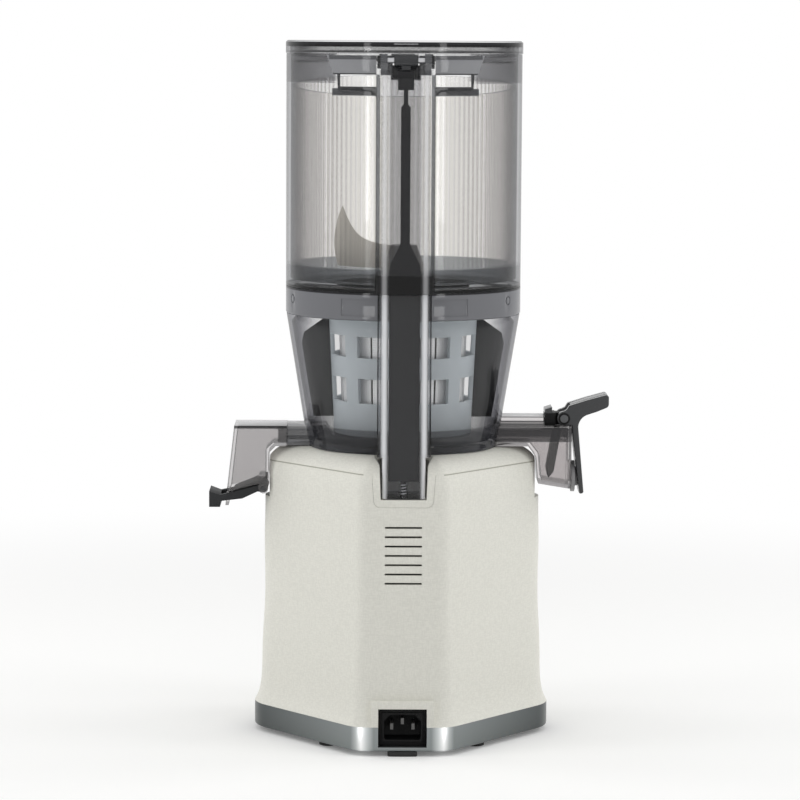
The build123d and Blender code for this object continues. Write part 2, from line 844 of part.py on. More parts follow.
switch_top = notch_floor - notch_strip
with BuildPart() as safety_switch:
    with BuildSketch(Plane.XY.offset(switch_top)):
        with Locations((0, rod_y - 1)):
            Rectangle(20, 7)
    extrude(amount=-13)
    with BuildSketch(Plane.XY.offset(switch_top)):
        with Locations((0, rod_y)):
            Circle(plunger_radius + slide_gap)
    extrude(amount=-8, mode=Mode.SUBTRACT)
save(safety_switch.part, "safety_switch")

with BuildPart() as switch_plunger:
    with BuildSketch(Plane.XY.offset(notch_floor + seat_gap)):
        with Locations((0, rod_y)):
            Circle(plunger_radius)
    extrude(amount=-notch_strip - seat_gap - 7)
save(switch_plunger.part, "switch_plunger")

front_face = rear_face - skin_inset(knob_height - knob_radius - bezel_width)
switch_width = 26.0
switch_depth = 18.0
spindle_radius = 3.0
with BuildPart() as rotary_switch:
    with BuildSketch(Plane.XZ.offset(switch_face)):
        with Locations((0, knob_height)):
            Rectangle(switch_width, switch_width)
    extrude(amount=-switch_depth)
    with BuildSketch(Plane.XZ.offset(switch_face)):
        with Locations((0, knob_height)):
            Circle(switch_neck)
    extrude(amount=front_face - switch_face)
    with BuildSketch(Plane.XZ.offset(front_face)):
        with Locations((0, knob_height)):
            Circle(spindle_radius + shaft_gap)
    extrude(amount=-14, mode=Mode.SUBTRACT)
save(rotary_switch.part, "rotary_switch")

with BuildPart() as switch_spindle:
    with BuildSketch(Plane.XZ.offset(front_face - 13)):
        with Locations((0, knob_height)):
            Circle(spindle_radius)
    extrude(amount=13 + knob_depth - 3)
save(switch_spindle.part, "switch_spindle")

with BuildPart() as knob_bezel:
    with BuildSketch(Plane.XZ.offset(front_face)):
        with Locations((0, knob_height)):
            Circle(knob_radius + 2 * slide_gap + bezel_width)
            Circle(knob_radius + 2 * slide_gap, mode=Mode.SUBTRACT)
    extrude(amount=3)
save(knob_bezel.part, "knob_bezel")

with BuildPart() as selector_knob:
    with BuildSketch(Plane.XZ.offset(front_face + 1)):
        with Locations((0, knob_height)):
            Circle(knob_radius)
    extrude(amount=knob_depth)
    fillet(selector_knob.faces().sort_by(Axis.Y)[0].edges(), 2)
    with BuildSketch(Plane.XZ.offset(front_face + 1 + knob_depth)):
        with Locations((0, knob_height)):
            SlotOverall(1.8 * knob_radius, 6, rotation=90)
    extrude(amount=4)
    with BuildSketch(Plane.XZ.offset(front_face)):
        with Locations((0, knob_height)):
            Circle(spindle_radius)
    extrude(amount=knob_depth - 3, mode=Mode.SUBTRACT)
save(selector_knob.part, "selector_knob")

# ---------------------------------------------------------------- juicing bowl
hub_top = bowl_floor + 1.6
floor_bottom = deck_height + 1
gear_low = bowl_floor + 2
ring_top = gear_low + bowl_gear_face + 0.6
bowl_rim = seat_gap + slide_gap
rim_inner = collar_seat - clear_wall
brush_low_radius = brush_high_radius - brush_taper
gutter_radius = brush_low_radius + 1.9
duct_half = port_width / 2
duct_wall = 2.0
duct_low = deck_height - 9.5
duct_start = hub_radius + 1.2
duct_turn = hub_radius + 7.7
port_outer = hub_radius + 14.7
stub_floor = deck_height + 4
stub_ceiling = stub_floor + port_height
stub_wall = 1.6
spigot_end = stub_end + 6
outlet_half = 12.0


def bowl_radius(height):
    """Outer radius of the bowl's cone at a height."""
    return bowl_low_radius + (bowl_high_radius - bowl_low_radius) * (height - bowl_low) / (bowl_high - bowl_low)


def solid_bowl(grow):
    """The bowl filled in, for cutting what seats against its outside."""
    with BuildPart(mode=Mode.PRIVATE) as body:
        with BuildSketch(Plane.XZ):
            with BuildLine():
                Polyline(
                    (0, bowl_base),
                    (bowl_foot_radius + grow, bowl_base),
                    (bowl_foot_radius + grow, bowl_base + 2),
                    (bowl_radius(bowl_floor) + grow, bowl_floor),
                    (bowl_high_radius + grow, bowl_high),
                    (collar_radius + grow, collar_low),
                    (collar_radius + grow, collar_top),
                    (0, collar_top),
                    close=True,
                )
            make_face()
        revolve(axis=Axis.Z)
    return body.part


with BuildPart() as juicing_bowl:
    with BuildSketch(Plane.XZ):
        with BuildLine():
            Polyline(
                (0, floor_bottom),
                (well_radius - 1, floor_bottom),
                (well_radius + 1, bowl_base),
                (bowl_foot_radius, bowl_base),
                (bowl_foot_radius, bowl_base + 2),
                (bowl_radius(bowl_floor), bowl_floor),
                (bowl_high_radius, bowl_high),
                (bowl_high_radius, collar_low),
                (collar_seat, collar_low),
                (collar_seat, collar_top - bowl_rim),
                (rim_inner, collar_top - bowl_rim),
                (rim_inner, ledge_height),
                (rim_inner - ledge_width, ledge_height),
                (rim_inner - ledge_width, ledge_height - 1.5),
                (bowl_radius(ledge_height - 7) - clear_wall, ledge_height - 7),
                (bowl_low_radius - clear_wall, bowl_low),
                (bowl_radius(gutter_floor) - clear_wall - 1, gutter_floor + 2),
                (bowl_radius(gutter_floor) - clear_wall - 3, gutter_floor),
                (gutter_radius, gutter_floor),
                (gutter_radius, bowl_floor),
                (0, bowl_floor),
                close=True,
            )
        make_face()
    revolve(axis=Axis.Z)
    with BuildSketch(Plane.XY.offset(hub_bottom)):
        Circle(hub_radius)
    extrude(amount=hub_top - hub_bottom)
    with BuildSketch(Plane.XZ):
        with BuildLine():
            Polyline(
                (hub_radius - 1, floor_bottom + 1),
                (hub_radius - 1, duct_low - duct_wall),
                (duct_turn + 0.6, duct_low - duct_wall),
                (well_radius - 1.5, bowl_base + 0.4),
                (stub_end, bowl_base + 0.4),
                (stub_end, stub_ceiling + 2 * stub_wall + 0.4),
                (gutter_radius + 3, stub_ceiling + 2 * stub_wall + 0.4),
                (gutter_radius - 0.6, bowl_floor),
                (gutter_radius - 0.6, floor_bottom + 1),
                close=True,
            )
        make_face()
    extrude(amount=duct_half + duct_wall, both=True)
    with BuildSketch(Plane.XZ):
        with BuildLine():
            Polyline(
                (stub_end - 1, stub_floor - stub_wall),
                (spigot_end, stub_floor - stub_wall),
                (spigot_end, stub_ceiling + stub_wall),
                (stub_end - 1, stub_ceiling + stub_wall),
                close=True,
            )
        make_face()
    extrude(amount=duct_half + stub_wall, both=True)
    with BuildSketch(Plane.XZ):
        with BuildLine():
            Polyline(
                (duct_start, bowl_floor + 1),
                (duct_start, duct_low),
                (duct_turn, duct_low),
                (well_radius + 1, stub_floor),
                (spigot_end, stub_floor),
                (spigot_end, stub_ceiling),
                (gutter_radius + 4.5, stub_ceiling),
                (gutter_radius - 1, gutter_floor + 1),
                (port_outer, gutter_floor + 1),
                (port_outer, bowl_floor + 1),
                close=True,
            )
        make_face()
    extrude(amount=duct_half, both=True, mode=Mode.SUBTRACT)
    with BuildSketch(Plane.XY.offset(hub_bottom)):
        Circle(spigot_radius + shaft_gap + seal_wall)
    extrude(amount=hub_top - hub_bottom, mode=Mode.SUBTRACT)
    with BuildSketch(Plane.XY.offset(gutter_floor)):
        with Locations((-bowl_low_radius, 0)):
            Rectangle(16, 2 * outlet_half)
    extrude(amount=6.8, mode=Mode.SUBTRACT)
    with BuildSketch(Plane.XY.offset(floor_bottom + 2)):
        with Locations((0, -idler_centres)):
            Circle(idler_pin_radius)
    extrude(amount=bowl_floor, mode=Mode.SUBTRACT)
save(juicing_bowl.part, "juicing_bowl")

with BuildPart() as bowl_seal:
    with BuildSketch(Plane.XY.offset(hub_bottom)):
        Circle(spigot_radius + shaft_gap + seal_wall)
        Circle(spigot_radius + shaft_gap, mode=Mode.SUBTRACT)
    extrude(amount=hub_top - hub_bottom)
save(bowl_seal.part, "bowl_seal")

with BuildPart() as idler_pin:
    with BuildSketch(Plane.XY.offset(floor_bottom + 2)):
        with Locations((0, -idler_centres)):
            Circle(idler_pin_radius)
    extrude(amount=gear_low + bowl_gear_face + 0.4 - floor_bottom - 2)
save(idler_pin.part, "idler_pin")

with BuildPart() as idler_gear:
    with BuildSketch(Plane((0, -idler_centres, gear_low))):
        add(Rotation(0, 0, 90 + 180 / idler_teeth) * spur(idler_teeth))
        Circle(idler_pin_radius + shaft_gap, mode=Mode.SUBTRACT)
    extrude(amount=bowl_gear_face)
save(idler_gear.part, "idler_gear")

panel_depth = 0.6
panel_turn = 22.5
panel_width = 25.0
mark_turns = (-69.0, 61.0)
mark_radius = 3.2
with BuildPart() as locking_collar:
    with BuildSketch(Plane.XY.offset(collar_low)):
        Circle(collar_radius)
        Circle(collar_seat, mode=Mode.SUBTRACT)
    extrude(amount=collar_height)
    chamfer(locking_collar.faces().sort_by(Axis.Z)[0].edges().sort_by(SortBy.LENGTH)[-1], 0.8)
    with BuildSketch(Plane.XY.offset(collar_low + collar_height / 6)):
        for turn in (90 - panel_turn, 90 + panel_turn, -90 - panel_turn, -90 + panel_turn):
            with PolarLocations(collar_radius, 1, start_angle=turn):
                Rectangle(2 * panel_depth + 1.6, panel_width)
        Circle(collar_radius - panel_depth, mode=Mode.SUBTRACT)
    extrude(amount=collar_height * 0.6, mode=Mode.SUBTRACT)
    for turn in mark_turns:
        mark = Plane.XY.rotated((0, 0, 90 + turn)).location * Location((collar_radius - panel_depth, 0, 0))
        with BuildSketch(Plane(mark * Location((0, 0, collar_low + 0.6 * collar_height), (0, 90, 0)))):
            Circle(mark_radius)
            Circle(mark_radius - 0.9, mode=Mode.SUBTRACT)
        extrude(amount=2, mode=Mode.SUBTRACT)
save(locking_collar.part, "locking_collar")

column_foot = notch_floor + 0.6
column_step = deck_height + 1.6
column_front = notch_front + 2
foot_width = notch_width - 1.6
column_length = column_rear - column_front
column_middle = (column_front + column_rear) / 2
with BuildPart() as bowl_column:
    with BuildSketch(Plane.XY.offset(column_foot)):
        with Locations((0, column_middle)):
            RectangleRounded(foot_width, column_length, column_corner - 1)
    extrude(amount=column_step - column_foot)
    with BuildSketch(Plane.XY.offset(column_step)):
        with Locations((0, column_middle)):
            RectangleRounded(column_width, column_length, column_corner)
    extrude(amount=collar_top - column_step)
    with BuildSketch(Plane.XY.offset(column_foot + column_wall)):
        with Locations((0, column_middle)):
            RectangleRounded(foot_width - 2 * column_wall, column_length - 2 * column_wall, 1)
    extrude(amount=column_step, mode=Mode.SUBTRACT)
    with BuildSketch(Plane.XY.offset(column_step + column_wall)):
        with Locations((0, column_middle)):
            RectangleRounded(
                column_width - 2 * column_wall, column_length - 2 * column_wall, column_corner - column_wall
            )
    extrude(amount=collar_top, mode=Mode.SUBTRACT)
    with BuildSketch(Plane.XY.offset(column_foot)):
        with Locations((0, rod_y)):
            Circle(plunger_radius + 2 * slide_gap)
    extrude(amount=column_wall, mode=Mode.SUBTRACT)
    add(solid_bowl(0.02), mode=Mode.SUBTRACT)
save(bowl_column.part, "bowl_column")

rod_low = column_foot + column_wall + 9
rod_rise = 2.5
rod_bar = 20.0
rod_thickness = 3.6
rod_top = collar_top - seat_gap
with BuildPart() as lower_interlock_rod:
    with BuildSketch(Plane.XY.offset(notch_floor + 2 * seat_gap)):
        with Locations((0, rod_y)):
            Circle(plunger_radius)
    extrude(amount=rod_low - notch_floor)
    with BuildSketch(Plane.XY.offset(rod_low)):
        with Locations((0, rod_y)):
            RectangleRounded(rod_bar, rod_thickness, 1)
    extrude(amount=rod_top - rod_low)
save(lower_interlock_rod.part, "lower_interlock_rod")


def spring(base, height, coil_radius, wire, pitch):
    """A compression spring round the point base, on the axis +Z."""
    with BuildPart(mode=Mode.PRIVATE) as coil:
        with BuildLine():
            path = Helix(pitch=pitch, height=height, radius=coil_radius, center=base)
        with BuildSketch(Plane(origin=path @ 0, z_dir=path % 0)):
            RegularPolygon(wire, 6)
        sweep(path=path, is_frenet=True)
    return coil.part


spring_wire = 0.4
spring_coil = plunger_radius + 0.9
save(spring((0, rod_y, column_foot + column_wall + 0.6), 7.6, spring_coil, spring_wire, 1.9), "lower_rod_spring")

# ---------------------------------------------------------------- strainer and brush
strainer_floor = gear_low + bowl_gear_face + 1.4
floor_plate = 2.6
mesh_bottom = strainer_floor + floor_plate
mesh_high_radius = brush_high_radius - brush_wall - mesh_gap
mesh_low_radius = mesh_high_radius - mesh_taper
flange_top = ledge_height + 2.6
neck_hole = hub_radius + 2
rib_depth = 1.4
slot_count = 24
slot_width = 1.4
slot_margin = 6.0
mesh_middle = (mesh_bottom + ledge_height) / 2
port_middle = (duct_start + port_outer) / 2

with BuildPart() as strainer_rib:
    with BuildSketch(Plane.XZ):
        with BuildLine():
            Polyline(
                (mesh_low_radius + 0.02, mesh_bottom),
                (mesh_low_radius + rib_depth, mesh_bottom),
                (mesh_high_radius + rib_depth, ledge_height),
                (mesh_high_radius + 0.02, ledge_height),
                close=True,
            )
        make_face()
    extrude(amount=rib_depth, both=True)

with BuildPart() as strainer_frame:
    with BuildSketch(Plane.XY.offset(strainer_floor)):
        Circle(mesh_low_radius + rib_depth)
        Circle(neck_hole, mode=Mode.SUBTRACT)
        with Locations((port_middle, 0)):
            Rectangle(port_outer - duct_start, port_width, mode=Mode.SUBTRACT)
    extrude(amount=floor_plate)
    with BuildSketch(Plane.XY.offset(ledge_height)):
        Circle(rim_inner - slide_gap)
        Circle(mesh_high_radius - mesh_wall, mode=Mode.SUBTRACT)
    extrude(amount=flange_top - ledge_height)
    with PolarLocations(0, 6, start_angle=30):
        add(strainer_rib.part)
save(strainer_frame.part, "strainer_frame")

with BuildPart() as strainer_mesh:
    with BuildSketch(Plane.XZ):
        with BuildLine():
            Polyline(
                (mesh_low_radius - mesh_wall, mesh_bottom),
                (mesh_low_radius, mesh_bottom),
                (mesh_high_radius, ledge_height),
                (mesh_high_radius - mesh_wall, ledge_height),
                close=True,
            )
        make_face()
    revolve(axis=Axis.Z)
    for low, high in ((mesh_bottom + slot_margin, mesh_middle - 3), (mesh_middle + 3, ledge_height - slot_margin)):
        with BuildSketch(Plane.XY.offset(low)):
            with PolarLocations(mesh_high_radius, slot_count):
                Rectangle(12, slot_width)
        extrude(amount=high - low, mode=Mode.SUBTRACT)
save(strainer_mesh.part, "strainer_mesh")

brush_low = bowl_floor + 1.2
brush_top = ledge_height - 2.4
ring_outer = ring_teeth * gear_module / 2 + gear_module + 2
window_rows = [(ring_top + 13.9, ring_top + 30.4), (brush_top - 26.6, brush_top - 12.4)]
wide_window = 78
narrow_window = 30
windows = [
    (90, wide_window),
    (270, wide_window),
    (23, narrow_window),
    (-23, narrow_window),
    (157, narrow_window),
    (203, narrow_window),
]


def brush_radius(height):
    """Outer radius of the brush frame's cage at a height."""
    return brush_low_radius + (brush_high_radius - brush_low_radius) * (height - ring_top) / (brush_top - ring_top)


with BuildPart() as brush_frame:
    with BuildSketch(Plane.XZ):
        with BuildLine():
            Polyline(
                (ring_outer, brush_low),
                (brush_low_radius, brush_low),
                (brush_low_radius, ring_top),
                (brush_high_radius, brush_top),
                (brush_high_radius - brush_wall, brush_top),
                (brush_low_radius - brush_wall, ring_top),
                (ring_outer, ring_top),
                close=True,
            )
        make_face()
    revolve(axis=Axis.Z)
    with BuildSketch(Plane.XY.offset(gear_low)):
        Circle(ring_outer + 1)
        add(Rotation(0, 0, -90 + 180 / ring_teeth) * ring_space(ring_teeth), mode=Mode.SUBTRACT)
    extrude(amount=bowl_gear_face)
    for low, high in window_rows:
        with BuildSketch(Plane.XY.offset(low)):
            for middle, span in windows:
                far = brush_high_radius * 1.5
                left = radians(middle + span / 2)
                right = radians(middle - span / 2)
                with BuildLine():
                    Polyline((0, 0), (far * cos(right), far * sin(right)), (far * cos(left), far * sin(left)), close=True)
                make_face()
        extrude(amount=high - low, mode=Mode.SUBTRACT)
save(brush_frame.part, "brush_frame")

blade_thickness = 2.2
blade_low = ring_top + 1.4
blade_top = brush_top - 3.6
blade_knee = brush_top - 19.6
blade_gap = 4.4


def blade_edge(height):
    """Outer edge of the wiper blades, close to the bowl's wall."""
    return bowl_radius(height) - clear_wall - blade_gap


with BuildPart() as wiper_blades:
    with BuildSketch(Plane.XZ):
        with BuildLine():
            Polyline(
                (brush_radius(blade_low) - 0.5, blade_low),
                (blade_edge(blade_low), blade_low),
                (blade_edge(blade_knee), blade_knee),
                (blade_edge(blade_knee) - 1.6, blade_knee + 7),
                (brush_high_radius + 4, blade_top),
                (brush_radius(blade_top) - 0.5, blade_top),
                close=True,
            )
        make_face()
    extrude(amount=blade_thickness / 2, both=True)
    mirror(about=Plane.YZ)
    with BuildSketch(Plane.XZ):
        with BuildLine():
            Polyline((0, ring_top), (brush_low_radius, ring_top), (brush_high_radius, brush_top), (0, brush_top), close=True)
        make_face()
    revolve(axis=Axis.Z, mode=Mode.SUBTRACT)
save(wiper_blades.part, "wiper_blades")

# ---------------------------------------------------------------- auger
neck_low = gear_low + bowl_gear_face
core_low = mesh_bottom + 1.2
auger_shoulder = ledge_height + 6
auger_crown = collar_top + 27
flight_radius = mesh_low_radius - mesh_wall - flight_gap
flight_low = core_low + 4.6
spigot_low = hub_bottom + 7.6
bush_radius = 9.5
bush_top = drive_top + 3
hub_clear = bush_radius + 0.3

with BuildPart() as auger:
    with BuildSketch(Plane.XZ):
        with BuildLine():
            Polyline(
                (0, spigot_low),
                (spigot_radius, spigot_low),
                (spigot_radius, gear_low),
                (hub_clear, gear_low),
                (hub_clear, neck_low),
                (neck_hole - 0.8, neck_low),
                (neck_hole - 0.8, core_low),
                (core_low_radius, core_low),
                (core_high_radius, auger_shoulder),
                (15, auger_shoulder + 22),
                (9, auger_crown),
                (0, auger_crown),
                close=True,
            )
        make_face()
    revolve(axis=Axis.Z)
    with BuildLine():
        thread = Helix(
            pitch=flight_pitch, height=auger_shoulder + 1.8 - flight_low, radius=core_high_radius, center=(0, 0, flight_low)
        )
    with BuildSketch(Plane(origin=thread @ 0, x_dir=(1, 0, 0), z_dir=thread % 0)):
        with BuildLine():
            tip = flight_radius - core_high_radius
            Polyline((-4, -4), (tip, -1.3), (tip, 1.3), (-4, 4), close=True)
        make_face()
    sweep(path=thread, is_frenet=True)
    with BuildSketch(Plane.XY.offset(gear_low)):
        add(spur(auger_teeth))
    extrude(amount=bowl_gear_face)
    with BuildSketch(Plane.XY.offset(hub_bottom)):
        Circle(bush_radius)
    extrude(amount=bush_top - hub_bottom, mode=Mode.SUBTRACT)
save(auger.part, "auger")

with BuildPart() as auger_bush:
    with BuildSketch(Plane.XY.offset(spigot_low)):
        Circle(bush_radius)
    extrude(amount=bush_top - spigot_low)
    with BuildSketch(Plane.XY.offset(hub_bottom)):
        RegularPolygon(drive_hex / 2 + 2 * shaft_gap, 6, major_radius=False)
    extrude(amount=drive_top + 1 - hub_bottom, mode=Mode.SUBTRACT)
save(auger_bush.part, "auger_bush")

wing_thickness = 5.0
wing_curve = 46.0
wing_foot = auger_crown - 16
wing_tip = auger_crown + 26.5
wing_near = (8, auger_crown)
wing_far = (44, wing_foot + 2)
wing_point = (41, wing_tip)
with BuildPart() as cutting_wing:
    with BuildSketch(Plane.XY.offset(wing_foot - 1)):
        with Locations((22, -wing_curve + 3)):
            Circle(wing_curve + wing_thickness / 2)
            Circle(wing_curve - wing_thickness / 2, mode=Mode.SUBTRACT)
    extrude(amount=wing_tip - wing_foot + 2)
    with BuildSketch(Plane.XZ):
        with BuildLine():
            Spline(wing_point, (36.5, wing_tip - 10.5), (30, wing_tip - 19.5), (20, auger_crown + 2), wing_near)
            Polyline(wing_near, (8, wing_foot), wing_far)
            Spline(wing_far, (46.5, auger_crown), (45, auger_crown + 15), wing_point)
        make_face()
    extrude(amount=30, both=True, mode=Mode.INTERSECT)
    with BuildSketch(Plane.XZ):
        with BuildLine():
            Polyline(
                (0, auger_shoulder),
                (core_high_radius, auger_shoulder),
                (15.02, auger_shoulder + 22),
                (9.02, auger_crown + 0.02),
                (0, auger_crown + 0.02),
                close=True,
            )
        make_face()
    revolve(axis=Axis.Z, mode=Mode.SUBTRACT)
save(cutting_wing.part, "cutting_wing")

# ---------------------------------------------------------------- juice spout
spout_ceiling = spout_top - spout_wall
spout_root = bowl_foot_radius - 6
spout_face = recess_x + 0.8
spout_low = recess_bottom + 6.3
spout_sole = spout_top - 21
rail_height = 6.6
rail_width = 16.0
rail_end = spout_end - 18
bracket_end = spout_end - 10.8
bracket_width = 18.0
tongue_width = 12.0
tongue_radius = 4.0
cap_pin_radius = 1.6
boss_cheek = 4.2
cap_swing = 70

with BuildPart() as juice_spout:
    with BuildSketch(Plane.XZ):
        with BuildLine():
            Polyline(
                (-spout_root, spout_top),
                (-spout_end, spout_top),
                (-spout_end, spout_low),
                (-spout_face - 1.4, spout_low + 3.6),
                (-spout_face, spout_sole),
                (-spout_face + 5.7, deck_height + 0.6),
                (-spout_root, deck_height + 0.6),
                close=True,
            )
        make_face()
    extrude(amount=spout_width / 2, both=True)
    fillet(juice_spout.faces().sort_by(Axis.X)[0].edges().filter_by(Axis.Z), 3)
    with BuildSketch(Plane.XZ.offset(-rail_width / 2)):
        with Locations((-(rail_end + spout_root) / 2, spout_top + rail_height / 2)):
            Rectangle(rail_end - spout_root, rail_height)
    extrude(amount=rail_width)
    fillet(juice_spout.faces().sort_by(Axis.Z)[-1].edges().filter_by(Axis.X), 1.2)
    with BuildSketch(Plane.XZ):
        with BuildLine():
            Polyline(
                (-spout_root + 1, spout_ceiling),
                (-spout_end + spout_wall, spout_ceiling),
                (-spout_end + spout_wall, spout_low + spout_wall + 0.5),
                (-spout_face - 1.4 - spout_wall, spout_low + 3.6 + spout_wall + 0.1),
                (-spout_face - spout_wall, spout_sole + 1.2),
                (-spout_face + 4.6, deck_height + 0.6 + spout_wall),
                (-spout_root + 1, deck_height + 0.6 + spout_wall),
                close=True,
            )
        make_face()
    extrude(amount=spout_width / 2 - spout_wall, both=True, mode=Mode.SUBTRACT)
    with BuildSketch(Plane.YZ.offset(-spout_end - 1)):
        with Locations((0, mouth_height)):
            Circle(mouth_radius)
    extrude(amount=spout_wall + 2, mode=Mode.SUBTRACT)
    add(solid_bowl(0.02), mode=Mode.SUBTRACT)
save(juice_spout.part, "juice_spout")

with BuildPart() as cap_bracket:
    with BuildSketch(Plane.XZ):
        with BuildLine():
            Polyline(
                (-rail_end, spout_top),
                (-bracket_end, spout_top),
                (-bracket_end, spout_top + 8.6),
                (-rail_end, spout_top + 8),
                close=True,
            )
        make_face()
    extrude(amount=bracket_width / 2, both=True)
    with BuildSketch(Plane.XZ):
        with Locations((-cap_pivot_x, cap_pivot_z)):
            Circle(tongue_radius)
        with Locations(((-cap_pivot_x - bracket_end + 1) / 2, cap_pivot_z)):
            Rectangle(cap_pivot_x - bracket_end + 1, 2 * tongue_radius)
    extrude(amount=tongue_width / 2, both=True)
    with BuildSketch(Plane.XZ):
        with Locations((-cap_pivot_x, cap_pivot_z)):
            Circle(cap_pin_radius + shaft_gap)
    extrude(amount=bracket_width, both=True, mode=Mode.SUBTRACT)
save(cap_bracket.part, "cap_bracket")

with BuildPart() as cap_pin:
    with BuildSketch(Plane.XZ):
        with Locations((-cap_pivot_x, cap_pivot_z)):
            Circle(cap_pin_radius)
    extrude(amount=bracket_width / 2 + 1, both=True)
save(cap_pin.part, "cap_pin")

cap_width = 24.0
handle_end = cap_pivot_x + 30.3
plate_face = spout_end + 0.5
plate_low = recess_bottom + 2.5
with BuildPart() as juice_cap_lever:
    with BuildSketch(Plane.XZ) as lever:
        with BuildLine():
            Polyline(
                (-cap_pivot_x - 0.8, cap_pivot_z + 5.1),
                (-cap_pivot_x - 4.2, cap_pivot_z + 8.3),
                (-handle_end + 2.6, cap_pivot_z + 14.7),
                (-handle_end, cap_pivot_z + 12.3),
                (-handle_end, cap_pivot_z + 6.3),
                (-handle_end + 3.8, cap_pivot_z + 2.8),
                (-plate_face - 11.5, cap_pivot_z - 0.6),
                (-plate_face - 5.4, cap_pivot_z - 4.2),
                (-plate_face - 3.9, cap_pivot_z - 9.5),
                (-plate_face - 7.7, plate_low),
                (-plate_face - 5.1, plate_low - 0.1),
                (-plate_face, cap_pivot_z - 8.5),
                (-plate_face, cap_pivot_z + 3.5),
                close=True,
            )
        make_face()
        fillet(lever.vertices().sort_by(Axis.X)[1:4], 1.4)
    extrude(amount=cap_width / 2, both=True)
    with BuildSketch(Plane.XZ):
        with Locations((-cap_pivot_x, cap_pivot_z)):
            Circle(boss_cheek)
        with Locations((-(cap_pivot_x + plate_face + 0.5) / 2, cap_pivot_z + 0.5)):
            Rectangle(plate_face + 0.5 - cap_pivot_x, 9)
    extrude(amount=cap_width / 2, both=True)
    with BuildSketch(Plane.XZ):
        with Locations((-cap_pivot_x, cap_pivot_z)):
            Circle(tongue_radius + 2 * slide_gap)
            for swing in range(0, cap_swing + 1, 10):
                Rectangle(
                    cap_pivot_x - bracket_end + slide_gap,
                    2 * tongue_radius + 2 * slide_gap,
                    rotation=swing,
                    align=(Align.MIN, Align.CENTER),
                )
    extrude(amount=tongue_width / 2 + slide_gap, both=True, mode=Mode.SUBTRACT)
    with BuildSketch(Plane.XZ):
        with Locations((-cap_pivot_x, cap_pivot_z)):
            Circle(cap_pin_radius)
    extrude(amount=bracket_width / 2 + 1, both=True, mode=Mode.SUBTRACT)
save(juice_cap_lever.part, "juice_cap_lever")

disc_height = mouth_height - 3.7
disc_radius = mouth_radius + 3.1
with BuildPart() as cap_seal:
    with BuildSketch(Plane.YZ.offset(-spout_end - seat_gap)):
        with Locations((0, disc_height)):
            Circle(disc_radius)
    extrude(amount=-2.6)
    with BuildSketch(Plane.YZ.offset(-spout_end - 2.6)):
        with Locations((0, disc_height)):
            Circle(disc_radius - 4)
    extrude(amount=-4)
    add(juice_cap_lever.part, mode=Mode.SUBTRACT)
    plate_run = cap_pivot_z - 9.5 - plate_low
    split(bisect_by=Plane(origin=(-plate_face - 7.7, 0, plate_low), x_dir=(0, 1, 0), z_dir=(plate_run, 0, -3.8)), keep=Keep.TOP)
save(cap_seal.part, "cap_seal")

flap_near = spout_end - 11.6
flap_tip = spout_end - 15.4
with BuildPart() as drip_flap:
    with BuildSketch(Plane.XZ):
        with BuildLine():
            Polyline(
                (-flap_near, spout_ceiling),
                (-flap_near - 4.8, spout_ceiling),
                (-flap_near + 0.2, spout_top - 31),
                (-flap_tip, spout_top - 35.4),
                (-flap_tip + 1, spout_top - 30),
                close=True,
            )
        make_face()
    extrude(amount=11, both=True)
save(drip_flap.part, "drip_flap")

# ---------------------------------------------------------------- pulp chute
chute_half = chute_width / 2
chute_face = recess_x + 0.8
chute_end = recess_x + 23.8
chute_low = gate_pivot_z + 4.8
tip_low = recess_bottom - 6.5
tip_x = chute_end + 6.2
gate_pin_radius = 1.5
gate_hub = 3.0
tip_half = 9.6
tip_top = recess_bottom + 3.1
with BuildPart() as pulp_chute:
    with BuildSketch(Plane.XZ):
        with BuildLine():
            Polyline(
                (stub_end, spout_top),
                (chute_end, spout_top),
                (tip_x, tip_low),
                (tip_x - 2.2, tip_low),
                (tip_x - 2.6, tip_top + 1),
                (chute_face, chute_low),
                (chute_face, deck_height - 4.8),
                (chute_face - 5, deck_height + 0.2),
                (stub_end, deck_height + 0.2),
                close=True,
            )
        make_face()
    extrude(amount=chute_half, both=True)
    with BuildSketch(Plane.XZ):
        with BuildLine():
            Polyline(
                (stub_end - 1, spout_top - chute_wall + 0.4),
                (chute_end - 2, spout_top - chute_wall + 0.4),
                (tip_x - 3, recess_bottom - 0.5),
                (chute_face + 2, recess_bottom - 0.5),
                (chute_face + 2, deck_height - 2.8),
                (chute_face - 3.2, deck_height + chute_wall),
                (stub_end - 1, deck_height + chute_wall),
                close=True,
            )
        make_face()
    extrude(amount=chute_half - chute_wall, both=True, mode=Mode.SUBTRACT)
    with BuildSketch(Plane.XZ):
        with Locations((gate_pivot_x, gate_pivot_z)):
            Circle(gate_hub + slide_gap)
        with Locations((gate_pivot_x, gate_pivot_z + 4)):
            Rectangle(2 * (gate_hub + slide_gap), 8)
    extrude(amount=chute_half, both=True)
    with BuildSketch(Plane.XZ):
        with Locations((gate_pivot_x + 2, gate_pivot_z - 5)):
            Rectangle(20, 24)
    extrude(amount=chute_half - chute_wall, both=True, mode=Mode.SUBTRACT)
    with BuildSketch(Plane.XZ):
        with Locations((gate_pivot_x, gate_pivot_z)):
            Circle(gate_pin_radius)
    extrude(amount=chute_half, both=True, mode=Mode.SUBTRACT)
    for side in (-1, 1):
        with BuildSketch(Plane.XY.offset(tip_top)):
            with Locations((tip_x - 1.4, side * (tip_half + 10))):
                Rectangle(8, 20)
        extrude(amount=-20, mode=Mode.SUBTRACT)
save(pulp_chute.part, "pulp_chute")

with BuildPart() as gate_pin:
    with BuildSketch(Plane.XZ):
        with Locations((gate_pivot_x, gate_pivot_z)):
            Circle(gate_pin_radius)
    extrude(amount=chute_half, both=True)
save(gate_pin.part, "gate_pin")

